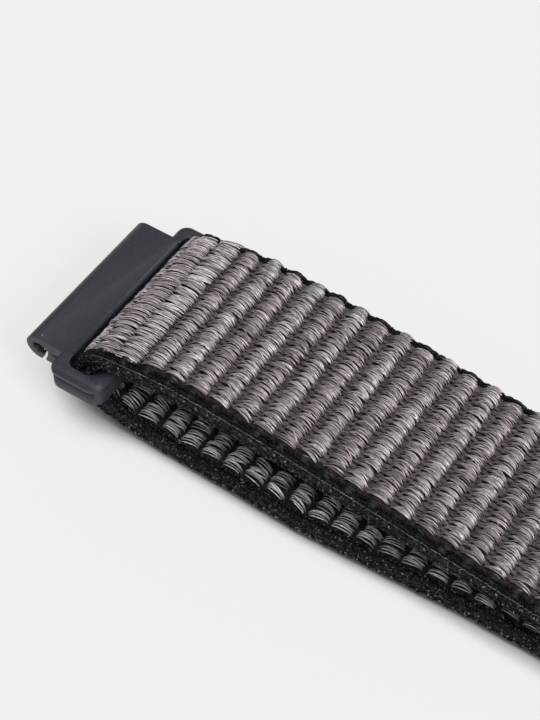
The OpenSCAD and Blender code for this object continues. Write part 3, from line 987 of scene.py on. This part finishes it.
# The selvedge's section: height of its middle, half its height, how square it is and how far it stands out
EDGE_CENTRE = 0.1
EDGE_HALF = 1.12
EDGE_POWER = 0.62
EDGE_OUT = WEB_HIGH.y + 0.12 * MM
EDGE_STEPS = 4
EDGE_CORNERS = 16
CORE_INSET = 0.12


def swelling(s):
    """How much the selvedge swells inwards where it turns round a connector's bar, from 0 to 1."""
    return sum(np.exp(-(((s - middle * MM) / (FOLD_SPREAD * MM)) ** 2)) for middle in FOLD_MIDDLES)


def edge_section(turn, grow=0.0, swell=0.0):
    """(across, height) round a selvedge's section, from 0 at its outer side."""
    yarn = settings("strap_yarn")
    half_w = yarn.edge_w / 2 + grow
    c, s = np.cos(turn), np.sin(turn)
    half_h = EDGE_HALF * MM + grow + np.where(s < 0, SWELL * MM * swell, 0)
    y = EDGE_OUT - yarn.edge_w / 2 + half_w * np.sign(c) * np.abs(c) ** EDGE_POWER
    h = EDGE_CENTRE * MM + half_h * np.sign(s) * np.abs(s) ** EDGE_POWER
    return y, h


def edge_side(y, h, side):
    """The selvedge's section on its own side of the strip. The far one is narrower and lower."""
    if side < 0:
        return -y, h
    return EDGE_OUT - FAR_EDGE * (EDGE_OUT - y), np.where(h > 0, FAR_EDGE_TOP * h, h)


def edge_core_rings(stretch):
    """The black core of both selvedges."""
    s = even_places(stretch, EDGE_STEPS)[:, None]
    turn = np.linspace(0, 2 * np.pi, EDGE_CORNERS, endpoint=False)
    y, h = edge_section(turn, -CORE_INSET * MM, swelling(s))
    made = [np.stack(np.broadcast_arrays(s, *edge_side(y, h, side)), -1)[:, ::-side] for side in (1, -1)]
    return np.stack(made)


KNOT_ROWS = 19
KNOT_PITCH = 0.28
KNOT_SWEEP = 150
KNOT_INSET = 0.08
KNOT_TILT = 38
TURN_SPREAD = 0.06
TILT_SPREAD = 0.35
KNOT_FORM = (1.0, 0.5, 0.75)
KNOT_SIZES = (0.8, 1.2)
KNOT_SHADES = (0, 0.93)
# Painted glints: one knot at this pitch, in millimetres, in this row of knots
GLINT_PITCH = 1.5
GLINT_ROW = 10
# Painted shade: knots turned further than this, in degrees, over the selvedge's top, are darker by this share
PAINTED_SHADE_FROM = 60
PAINTED_SHADE_TOP = 0.35
LUMP_PITCH = 1.5
LUMP_TURN = 36
LUMP_HALF = (0.62, 0.34, 0.27)
LUMP_SHARE = {1: 1.0, -1: 0.5}
LUMP_SIZES = (0.75, 1.2)
LUMP_TAPER = 0.3
LUMP_LEAN = 0.1
LUMP_SHADES = (0.1, 0.5)
CHAIN_PITCH = 0.55
CHAIN_TURN = 52
CHAIN_R = 0.042
CHAIN_OUT = 0.02
CHAIN_OVERLAP = 1.1
CHAIN_SLANT = 0.03
CHAIN_STRAY = 0.015
CHAIN_RISE = 0.03


def unit_bead():
    """Points and faces of a bead with six corners, the start of every knot."""
    points = np.concatenate([np.eye(3), -np.eye(3)])
    upper = [(0, 1, 2), (1, 3, 2), (3, 4, 2), (4, 0, 2)]
    lower = [(b, a, 5) for a, b, top in upper]
    return points, np.array(upper + lower)


def unit_ball():
    """Points and faces of a small ball, the start of every lump."""
    deselect()
    bpy.ops.mesh.primitive_ico_sphere_add(subdivisions=2, radius=1.0)
    ball = bpy.context.object
    points = np.array([v.co for v in ball.data.vertices])
    faces = np.array([p.vertices for p in ball.data.polygons])
    bpy.data.objects.remove(ball)
    return points, faces


def knots(stretch, bead, rng):
    """The knots of the knitted selvedges: (knot, point, 3) in strip places, and a shade for each."""
    pitch = settings("strap_lay").rib_pitch
    count = int((stretch.last - stretch.first) * pitch / (KNOT_PITCH * MM))
    along = np.linspace(stretch.first * pitch, stretch.last * pitch, count, endpoint=False)
    rows = np.radians(np.linspace(-KNOT_SWEEP, KNOT_SWEEP, KNOT_ROWS))
    s, turn = np.meshgrid(along, rows, indexing="ij")
    odd = np.arange(KNOT_ROWS) % 2
    s = shaken(s + odd * KNOT_PITCH / 2 * MM, 0.06, rng)
    turn = turn + rng.normal(0, TURN_SPREAD, s.shape)
    grow = shaken(np.full(s.shape, -KNOT_INSET * MM), 0.07, rng)
    y, h = edge_section(turn, grow, swelling(s))
    ahead = edge_section(turn + 0.02, grow, swelling(s))
    tangent = np.stack([np.zeros_like(y), ahead[0] - y, ahead[1] - h], -1)
    tangent /= np.linalg.norm(tangent, axis=-1, keepdims=True)
    tilt = np.radians(KNOT_TILT) * (1 - 2 * odd) + rng.normal(0, TILT_SPREAD, s.shape)
    cos, sin = np.cos(tilt)[..., None], np.sin(tilt)[..., None]
    long = [1.0, 0.0, 0.0] * cos + tangent * sin
    short = [-1.0, 0.0, 0.0] * sin + tangent * cos
    axes = np.stack([long, short, np.cross(long, short)], -2)
    size = settings("strap_yarn").knot_l / 2 * rng.uniform(*KNOT_SIZES, s.shape)
    spread = size[..., None, None] * (bead * KNOT_FORM @ axes)
    made = []
    for side in (1, -1):
        across, height = edge_side(y, h, side)
        centre = np.stack([s, side * across, height], -1)
        made.append(((centre[..., None, :] + spread) * [1, side, 1]).reshape(-1, len(bead), 3))
    # Painted glint: a knot at even steps in one row gets the brightest shade, which the knitted finish turns pale
    shades = rng.uniform(*KNOT_SHADES, (2, *s.shape))
    beat = (s[:, GLINT_ROW] % (GLINT_PITCH * MM)) < KNOT_PITCH * MM
    shades[:, beat, GLINT_ROW] = 1.0
    shades[:, turn > np.radians(PAINTED_SHADE_FROM)] *= PAINTED_SHADE_TOP
    return np.concatenate(made), shades.ravel()


def lumps(stretch, ball, rng):
    """Black lumps along the outer corners of the selvedges: (lump, point, 3) in strip places."""
    pitch = settings("strap_lay").rib_pitch
    middle = np.arange(stretch.first * pitch + LUMP_PITCH * MM / 2, stretch.last * pitch, LUMP_PITCH * MM)
    turn = math.radians(LUMP_TURN)
    half_l, half_w, half_h = np.array(LUMP_HALF) * MM
    made = []
    for side in (1, -1):
        y, h = edge_side(*edge_section(turn, -KNOT_INSET * MM), side)
        grow = rng.uniform(*LUMP_SIZES, (len(middle), 1)) * LUMP_SHARE[side]
        s = shaken(middle[:, None], 0.12, rng) + half_l * grow * ball[:, 0]
        out = half_w * grow * ball[:, 1]
        up = half_h * grow * ball[:, 2] * (1 - LUMP_TAPER * ball[:, 0] ** 2)
        across = y + side * (out * math.cos(turn) - up * math.sin(turn))
        height = h + out * math.sin(turn) + up * math.cos(turn) + LUMP_LEAN * MM * ball[:, 0]
        made.append(np.stack([s, across, height], -1))
    return np.concatenate(made)


def chain_rings(stretch, rng):
    """A fine line of chain stitches along the top corner of both selvedges."""
    rib_pitch = settings("strap_lay").rib_pitch
    pitch = CHAIN_PITCH * MM
    count = round((stretch.last - stretch.first) * rib_pitch / pitch)
    start = stretch.first * rib_pitch + np.arange(count) * pitch
    turn = np.linspace(0, 1, 5)
    made = []
    for side in (1, -1):
        y, h = edge_side(*edge_section(np.radians(CHAIN_TURN), CHAIN_OUT * MM), side)
        slant = side * rng.normal(CHAIN_SLANT, CHAIN_SLANT, (count, 1)) * MM
        made.append(np.stack([
            start[:, None] + turn * CHAIN_OVERLAP * pitch,
            y + slant * (turn - 0.5) * 2 + rng.normal(0, CHAIN_STRAY * MM, (count, 1)),
            h + CHAIN_RISE * MM * np.sin(np.pi * turn) + np.zeros((count, 1)),
        ], -1))
    centres = np.concatenate(made)
    # The chain stops where the selvedge swells round a bar
    centres = centres[swelling(centres[:, 0, 0]) < 0.1]
    rings = tubes_along(centres, CHAIN_R * MM * (0.6 + 0.4 * np.sin(np.pi * turn)), 4)
    shades = np.repeat(rng.uniform(-0.2, 0.2, len(centres)).clip(0.0)[:, None], len(turn), 1)
    return one_tone(rings, shades, rng)


def copies_piece(name, spots, faces, shades, line):
    """One piece from many copies of a shape, its mirrored second half with the faces turned round."""
    count, size = spots.shape[:2]
    starts = (np.arange(count) * size)[:, None, None]
    half = count // 2
    all_faces = np.concatenate([faces + starts[:half], faces[:, ::-1] + starts[half:]])
    return new_piece(name, line.place(spots).reshape(-1, 3), [all_faces.reshape(-1, faces.shape[1])],
                     shades=np.repeat(shades, size))


# Operators


class STRAP_OT_ground(bpy.types.Operator):
    """Lay the woven ground and its binding yarns under the ribs"""

    bl_idname = "strap.ground"
    bl_label = "Woven ground"

    def execute(self, context):
        line = StripLine()
        look = ground_look()
        tint = settings("strap_colours").binding
        binding = yarn_look("binding_yarn", tint, tint, 0.7, sheen=0.1)
        for stretch in STRETCHES:
            rings = core_rings(stretch)
            # Painted shade on the ground's lower face
            shades = np.where(rings[..., 2] > 0, 1.0, UNDER_SHADE)
            points = line.place(rings).reshape(-1, 3)
            dress(new_piece(f"ground_{stretch.name}", points, skin(rings), shades=shades), stretch, look)
            rows = binding_rows(stretch, random_for(stretch, 0))
            dress(yarn_piece(f"binding_{stretch.name}", rows, line), stretch, binding)
        return {"FINISHED"}


class STRAP_OT_ribs(bpy.types.Operator):
    """Arch the strands over the ribs, bundle by bundle"""

    bl_idname = "strap.ribs"
    bl_label = "Ribs"

    def execute(self, context):
        line = StripLine()
        colours = settings("strap_colours")
        look = yarn_look("rib_yarn", colours.taupe_yarn, colours.grey_yarn)
        for stretch in STRETCHES:
            rows = rib_rows(stretch, random_for(stretch, 100))
            dress(yarn_piece(f"ribs_{stretch.name}", rows, line), stretch, look)
        return {"FINISHED"}


class STRAP_OT_loops(bpy.types.Operator):
    """Set the fastening loops on the inner face"""

    bl_idname = "strap.loops"
    bl_label = "Fastening loops"

    def execute(self, context):
        line = StripLine()
        tint = settings("strap_colours").loop_yarn
        look = yarn_look("loop_yarn", tint, tint)
        for stretch in STRETCHES:
            if stretch.last > PATCH_RIBS:
                rows = loop_rows(stretch, random_for(stretch, 200))
                dress(yarn_piece(f"loops_{stretch.name}", rows, line), stretch, look)
        return {"FINISHED"}


class STRAP_OT_selvedges(bpy.types.Operator):
    """Knit the selvedges, knot by knot, with a chain of stitches on their top corner"""

    bl_idname = "strap.selvedges"
    bl_label = "Selvedges"

    def execute(self, context):
        line = StripLine()
        colours = settings("strap_colours")
        knit = knit_look()
        chain = yarn_look("chain_yarn", colours.loop_yarn, colours.loop_yarn)
        wrap = yarn_look("wrap_yarn", colours.edge_yarn, colours.edge_yarn, 0.34, 4.0, 0.0, 0.25)
        bead, bead_faces = unit_bead()
        ball, ball_faces = unit_ball()
        for stretch in STRETCHES:
            rng = random_for(stretch, 300)
            rings = edge_core_rings(stretch)
            points = line.place(rings).reshape(-1, 3)
            dress(new_piece(f"edge_core_{stretch.name}", points, skin(rings)), stretch, knit)
            spots, shades = knots(stretch, bead, rng)
            dress(copies_piece(f"knit_{stretch.name}", spots, bead_faces, shades, line), stretch, knit)
            spots = lumps(stretch, ball, rng)
            shades = rng.uniform(*LUMP_SHADES, len(spots))
            dress(copies_piece(f"lumps_{stretch.name}", spots, ball_faces, shades, line), stretch, knit)
            dress(yarn_piece(f"chain_{stretch.name}", chain_rings(stretch, rng), line), stretch, chain)
            dress(yarn_piece(f"wraps_{stretch.name}", wrap_rows(stretch, rng), line), stretch, wrap)
        return {"FINISHED"}


def rounded(x0, x1, half, r0, r1, steps=10):
    """Corners of an outline from x0 to x1 with rounded corners, r0 at x0 and r1 at x1."""
    made = []
    for x, y, r, start in ((x1, half, r1, 0), (x0, half, r0, 90), (x0, -half, r0, 180), (x1, -half, r1, 270)):
        centre = (x + (r if x == x0 else -r), y - math.copysign(r, y))
        made.extend(map(tuple, arc(centre, r, start, start + 90, steps)))
    return made


# Section of the mouth for the bar's lever, which is open downwards, and of the wider window behind its lip
BELOW = -TUBE_R / MM - 1
MOUTH = (
    (0.6, 0), (0.64, -0.75), (0.58, -1.05), (0.42, -1.4), (0.2, BELOW), (1.06, BELOW),
    (1.0, -1.35), (1.12, -1.05), (1.3, -0.54), (1.36, 0.04), (1.2, 0.35), (0.83, 0.64), (0.5, 0.6),
)
WINDOW = ((-0.3, BELOW), (1.25, BELOW), (1.25, -0.2), (-0.3, -0.2))
# Length of the lip at the tube's end, before the window
LIP_L = 0.65


class Connector:
    """A lug connector, modelled about its tube's axis, with the strap towards +X."""

    over = 1 * MM
    clearing_side = 0.4 * MM
    clearing_shift = 0.01 * MM
    # How far the lower shell is set in, and where its plate starts from the tube's axis
    seam_step = 0.13 * MM
    lower_plate_x = 1 * MM

    def __init__(self):
        size = settings("strap_connector")
        self.size = size
        self.top = SHELL_HIGH.z - TUBE_AXIS_Z
        self.bottom = LOWER_SHELL_LOW.z - TUBE_AXIS_Z
        self.ring_x = size.plate_l - size.shoulder_l
        self.ring_end = SHELL_HIGH.x - TUBE_AXIS_X
        self.ring_half = SHELL_HIGH.y
        self.plate_z = self.top - size.plate_seam
        self.seam_z = self.top - size.ring_seam
        self.slot = (size.plate_l, size.plate_l + size.slot_l, self.ring_half - size.arm_w)

    def plate_outline(self):
        """The tube and the plate seen from the end, as one outline."""
        size = self.size
        edge = (size.plate_l - size.slot_edge_r, self.top - size.slot_edge_r)
        foot = math.degrees(math.asin(self.plate_z / TUBE_R))
        corners = [(size.plate_l, self.plate_z)]
        corners += map(tuple, arc(edge, size.slot_edge_r, 0, 90, 8))
        corners += map(tuple, arc((0, 0), TUBE_R, 90, 360 + foot, 60))
        return corners

    def ring(self, name, low, high, edge_z, segments, inset=0.0):
        """The ring between two heights, its outer edge chamfered or rounded at one of them."""
        size = self.size
        outline = rounded(self.ring_x + inset, self.ring_end - inset, self.ring_half - inset,
                          size.corner_in_r - inset, size.corner_out_r - inset)
        piece = prism(name, outline, "Z", low, high)
        bevel_edges(piece, edge_z, size.shoulder_chamfer, segments)
        slot = rounded(*self.slot, size.slot_corner_r, size.slot_corner_r)
        return combine("DIFFERENCE", piece, prism("slot", slot, "Z", low - self.over, high + self.over))

    def plate_block(self, name, x0, low, high, inset=0.0):
        half = TUBE_L / 2 - inset
        corners = [(x0, -half), (self.size.plate_l, -half), (self.size.plate_l, half), (x0, half)]
        return prism(name, corners, "Z", low, high)

    def near_end(self, name, section, start):
        """A cutter with this section, in millimetres, from start along the tube to the mouth's end."""
        corners = [(x * MM, z * MM) for x, z in section]
        return prism(name, corners, "Y", start - TUBE_L / 2, self.size.lever_slot_l - TUBE_L / 2)

    def whole_rod(self, name, radius, vertices):
        """A round cutter along the whole tube."""
        return rod(name, radius, -TUBE_L / 2 - self.over, TUBE_L / 2 + self.over, (0, 0), vertices)

    def top_shell(self):
        piece = prism("top_shell", self.plate_outline(), "Y", -TUBE_L / 2, TUBE_L / 2)
        ring = self.ring("ring", self.seam_z, self.top, self.top, 1)
        clearing = self.plate_block("clearing", self.ring_x - self.over, self.plate_z - self.over,
                                    self.top + self.over, self.clearing_side)
        clearing.data.transform(Matrix.Translation((self.clearing_shift, 0, 0)))
        piece = combine("UNION", piece, combine("DIFFERENCE", ring, clearing))
        bore = self.whole_rod("bore", BORE_R, 40)
        mouth = self.near_end("mouth", MOUTH, -self.over)
        window = self.near_end("window", WINDOW, LIP_L * MM)
        return soften(combine("DIFFERENCE", piece, bore, mouth, window), self.size.soft_edge)

    def bottom_shell(self):
        piece = self.ring("bottom_shell", self.bottom, self.seam_z, self.bottom, 4, self.seam_step)
        notch = self.plate_block("notch", self.ring_x - self.over, self.plate_z, self.seam_z + self.over)
        plate = self.plate_block("plate", self.lower_plate_x, self.bottom, self.plate_z)
        piece = combine("UNION", combine("DIFFERENCE", piece, notch), plate)
        return soften(combine("DIFFERENCE", piece, self.whole_rod("saddle", TUBE_R, 96)), self.size.soft_edge)


class STRAP_OT_connectors(bpy.types.Operator):
    """Mould both lug connectors, each from an upper and a lower shell"""

    bl_idname = "strap.connectors"
    bl_label = "Connectors"

    def execute(self, context):
        look = plastic_look()
        place_a = Matrix.Translation((TUBE_AXIS_X, 0, TUBE_AXIS_Z))
        place_b = Matrix.Translation((-TUBE_AXIS_X, 0, TUBE_AXIS_Z)) @ Matrix.Rotation(math.pi, 4, "Z")
        connector = Connector()
        for part, made in (("top", connector.top_shell()), ("bottom", connector.bottom_shell())):
            for side, place in (("a", place_a), ("b", place_b)):
                piece = turned_copy(made, f"{part}_shell_{side}", place)
                piece.data.materials.clear()
                hand_over(piece, look, f"connector_{side}", f"{side}_{part}_shell")
            bpy.data.objects.remove(made)
        return {"FINISHED"}


class STRAP_OT_spring_bar(bpy.types.Operator):
    """Finish the spring bar's steel"""

    bl_idname = "strap.spring_bar"
    bl_label = "Spring bar"

    def execute(self, context):
        black = steel_look("blackened_steel", settings("strap_colours").steel, 0.38)
        wire = steel_look("spring_wire", (0.55, 0.55, 0.56, 1), 0.25)
        for name, node in frame["nodes"].items():
            if name.startswith("bar_"):
                node.data.materials.clear()
                node.data.materials.append(wire if name == "bar_spring" else black)
        return {"FINISHED"}


HOOK_SPACING = (0.95, 0.72)
HOOK_STEM = 0.36
HOOK_BEND = 0.13
HOOK_TURN = 200
HOOK_R = 0.075
# Thickness of the patch that the hooks take, and its margin and edges
HOOK_ROOM = 0.62
PATCH_MARGIN = (0.6, 0.5)
PATCH_CORNER = 0.8
PATCH_EDGE = 0.08


class STRAP_OT_hook_patch(bpy.types.Operator):
    """Mould the patch of hooks under the flap's end"""

    bl_idname = "strap.hook_patch"
    bl_label = "Hook patch"

    def execute(self, context):
        low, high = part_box("hook_patch")
        base_z = low.z + HOOK_ROOM * MM
        corners = rounded(low.x, high.x, high.y, PATCH_CORNER * MM, PATCH_CORNER * MM, 6)
        base = soften(prism("hook_base", corners, "Z", base_z, high.z), PATCH_EDGE * MM)
        (gap_x, gap_y), (margin_x, margin_y) = np.array([HOOK_SPACING, PATCH_MARGIN]) * MM
        ys = np.arange(low.y + margin_y, high.y - margin_y + 0.1 * MM, gap_y)
        x, y = grid(np.arange(low.x + margin_x, high.x - margin_x + 0.1 * MM, gap_x), ys)
        facing = np.where((np.arange(len(x)) // len(ys)) % 2, 1.0, -1.0)
        turn = np.radians(np.linspace(0, HOOK_TURN, 6))[1:]
        reach = np.concatenate([[0, 0], HOOK_BEND * (1 - np.cos(turn))]) * MM
        drop = np.concatenate([[-0.05, HOOK_STEM], HOOK_STEM + HOOK_BEND * np.sin(turn)]) * MM
        along = x[:, None] + facing[:, None] * reach
        centres = np.stack(np.broadcast_arrays(along, y[:, None], base_z - drop), -1)
        rings = tubes_along(centres, HOOK_R * MM * np.linspace(1.35, 0.7, len(reach)), 5)
        look = hook_look()
        for piece in (base, new_piece("hooks", rings.reshape(-1, 3), skin(rings))):
            hand_over(piece, look, "flap_tip", "hook_patch")
        return {"FINISHED"}


# Grip grooves across the end tab, on both its faces
GROOVES = 3
GROOVE_PITCH = 1.15
GROOVE_START = 1.5
GROOVE_END = 2.4
GROOVE_R = 0.34
GROOVE_OUT = 0.12
TAB_CORNERS = (0.3, 2.5)
TAB_EDGE = 0.22


class STRAP_OT_end_tab(bpy.types.Operator):
    """Press the end tab, with shallow grip grooves on both faces"""

    bl_idname = "strap.end_tab"
    bl_label = "End tab"

    def execute(self, context):
        low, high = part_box("end_tab")
        near_r, far_r = np.array(TAB_CORNERS) * MM
        start, end = low.y + GROOVE_END * MM, high.y - GROOVE_END * MM
        tab = prism("tab", rounded(low.x, high.x, high.y, near_r, far_r, 12), "Z", low.z, high.z)
        for groove in range(GROOVES):
            x = low.x + (GROOVE_START + GROOVE_PITCH * groove) * MM
            for z in (low.z - GROOVE_OUT * MM, high.z + GROOVE_OUT * MM):
                combine("DIFFERENCE", tab, rod("groove", GROOVE_R * MM, start, end, (x, z), 20))
        hand_over(soften(tab, TAB_EDGE * MM, 3), pressed_look(), "flap_tip", "end_tab")
        return {"FINISHED"}


STITCH_L = 2.2
STITCH_GAP = 0.7
STITCH_R = 0.12
STITCH_OVER = 0.2
STITCH_UP = 0.3
# How far the thread's two plies lie from its middle, how often they turn round it, and how deep it dives
PLY_OUT = 0.09
PLY_TURNS = 2.6
STITCH_DIVE = 0.3


def stitch_rows(valleys, rng):
    """Stitches of two-ply thread across the strip in these valleys."""
    lay = settings("strap_lay")
    pitch = (STITCH_L + STITCH_GAP) * MM
    count = int(inner_width() / pitch)
    turn = np.linspace(0, 1, 14)
    dive = STITCH_DIVE * MM * np.clip(np.abs(2 * turn - 1) * 3 - 2, 0, 1) ** 2
    top = lay.cloth_t / 2 + STITCH_UP * MM
    made = []
    for rib in valleys:
        for index in range(count):
            across = (index - (count - 1) / 2) * pitch + (turn - 0.5) * (STITCH_L + STITCH_OVER) * MM
            for ply in (0, np.pi):
                twist = ply + 2 * np.pi * PLY_TURNS * turn
                along = rib * lay.rib_pitch + PLY_OUT * MM * np.cos(twist)
                made.append(np.stack([along, across, top + PLY_OUT * MM * np.sin(twist) - dive], -1))
    centres = np.stack(made)
    shape = centres.shape[:2]
    shades = 0.5 + rng.normal(0, 0.05, (shape[0], 1)) + np.zeros(shape)
    runs = np.linspace(0, 6, shape[1]) + rng.uniform(0, 9, (shape[0], 1))
    return tubes_along(centres, STITCH_R * MM, 6), shades, np.zeros(shape), runs


class STRAP_OT_stitches(bpy.types.Operator):
    """Sew the hook patch and the return"""

    bl_idname = "strap.stitches"
    bl_label = "Stitches"

    def execute(self, context):
        line = StripLine()
        rng = np.random.default_rng(settings("strap_yarn").seed + 400)
        tint = settings("strap_colours").edge_yarn
        look = yarn_look("sewing_thread", tint, tint)
        last = line.ribs
        for node, body, valleys in (
            ("patch_stitches", "flap_tip", (1, PATCH_RIBS - 1)),
            ("return_stitches", "tail_3", (last - 3, last - 1)),
        ):
            piece = yarn_piece(f"sewn_{node}", stitch_rows(valleys, rng), line)
            hand_over(piece, look, body, node)
        return {"FINISHED"}


# Reach of the painted shadow under what stands on the floor, and the openness from which the floor starts to shine
CONTACT = 7
CONTACT_RAMP = (0.4, 0.75, 0.1, 1.0)
FRAME_HIGH = 720.0


class STRAP_OT_stage(bpy.types.Operator):
    """Set the pale floor with its painted contact shadow, the soft light and the camera"""

    bl_idname = "strap.stage"
    bl_label = "Stage"

    def execute(self, context):
        stage = settings("strap_stage")
        deselect()
        bpy.ops.mesh.primitive_plane_add(size=6.0, location=(0, 0, 0))
        floor = context.object
        floor.name = "floor"
        look = Look("floor", 0.9, specular=0.0)
        reach = {"Distance": CONTACT * MM}
        # Painted shadow: the floor's colour and its glow darken by ambient occlusion near what stands on it
        painted_shade_openness = look.node("ShaderNodeAmbientOcclusion", {"samples": 24}, reach, output="AO")
        clear = look.ramp(painted_shade_openness, *CONTACT_RAMP)
        look.feed(look.sockets["Emission Color"], look.scaled((1, 1, 1), clear))
        look.sockets["Emission Strength"].default_value = stage.glow
        floor.data.materials.append(look.finish(look.scaled(settings("strap_colours").floor, clear)))

        world = bpy.data.worlds.new("studio")
        world.use_nodes = True
        sky = world.node_tree.nodes["Background"]
        sky.inputs["Color"].default_value = (1, 1, 1, 1)
        sky.inputs["Strength"].default_value = stage.sky
        context.scene.world = world

        for name, strength, width, source in (
            ("key_light", stage.key, 60, (0.1, -0.12, 1.0)),
            ("side_light", stage.side, 22, (0.74, -0.2, 0.6)),
        ):
            deselect()
            bpy.ops.object.light_add(type="SUN", location=(0, 0, 1))
            lamp = context.object
            lamp.name = name
            lamp.data.energy = strength
            lamp.data.angle = math.radians(width)
            lamp.rotation_euler = Vector(source).to_track_quat("Z", "Y").to_euler()

        flat = math.cos(stage.elevation)
        forward = Vector((
            -math.sin(stage.azimuth) * flat, math.cos(stage.azimuth) * flat, -math.sin(stage.elevation),
        ))
        data = bpy.data.cameras.new("camera")
        data.sensor_width = 36.0
        data.lens = stage.focal / FRAME_HIGH * data.sensor_width
        data.clip_start, data.clip_end = 0.01, 10.0
        camera = bpy.data.objects.new("camera", data)
        camera.location = Vector(stage.target) - forward * stage.distance
        camera.rotation_euler = forward.to_track_quat("-Z", "Y").to_euler()
        context.collection.objects.link(camera)
        context.scene.camera = camera
        context.scene.view_settings.view_transform = "Standard"
        return {"FINISHED"}


OPERATORS = (
    STRAP_OT_stage,
    STRAP_OT_connectors,
    STRAP_OT_spring_bar,
    STRAP_OT_ground,
    STRAP_OT_ribs,
    STRAP_OT_loops,
    STRAP_OT_selvedges,
    STRAP_OT_hook_patch,
    STRAP_OT_end_tab,
    STRAP_OT_stitches,
)
GROUPS = {
    "strap_lay": StrapLaySettings,
    "strap_yarn": StrapYarnSettings,
    "strap_connector": StrapConnectorSettings,
    "strap_colours": StrapColourSettings,
    "strap_stage": StrapStageSettings,
}


class STRAP_PT_panel(bpy.types.Panel):
    """Sizes, colours and steps of the strap"""

    bl_idname = "STRAP_PT_panel"
    bl_label = "Watch strap"
    bl_space_type = "VIEW_3D"
    bl_region_type = "UI"
    bl_category = "Strap"

    def draw(self, context):
        for name, group in GROUPS.items():
            box = self.layout.box()
            for key in group.__annotations__:
                box.prop(getattr(context.scene, name), key)
        for operator in OPERATORS:
            self.layout.operator(operator.bl_idname)


def register():
    for group in (*GROUPS.values(), *OPERATORS, STRAP_PT_panel):
        bpy.utils.register_class(group)
    for name, group in GROUPS.items():
        setattr(bpy.types.Scene, name, PointerProperty(type=group))


def unregister():
    for name in GROUPS:
        delattr(bpy.types.Scene, name)
    for group in (STRAP_PT_panel, *OPERATORS[::-1], *GROUPS.values()):
        bpy.utils.unregister_class(group)


def main():
    """Builds every piece."""
    register()
    for operator in OPERATORS:
        group, name = operator.bl_idname.split(".")
        getattr(getattr(bpy.ops, group), name)()


if __name__ == "__main__":
    main()
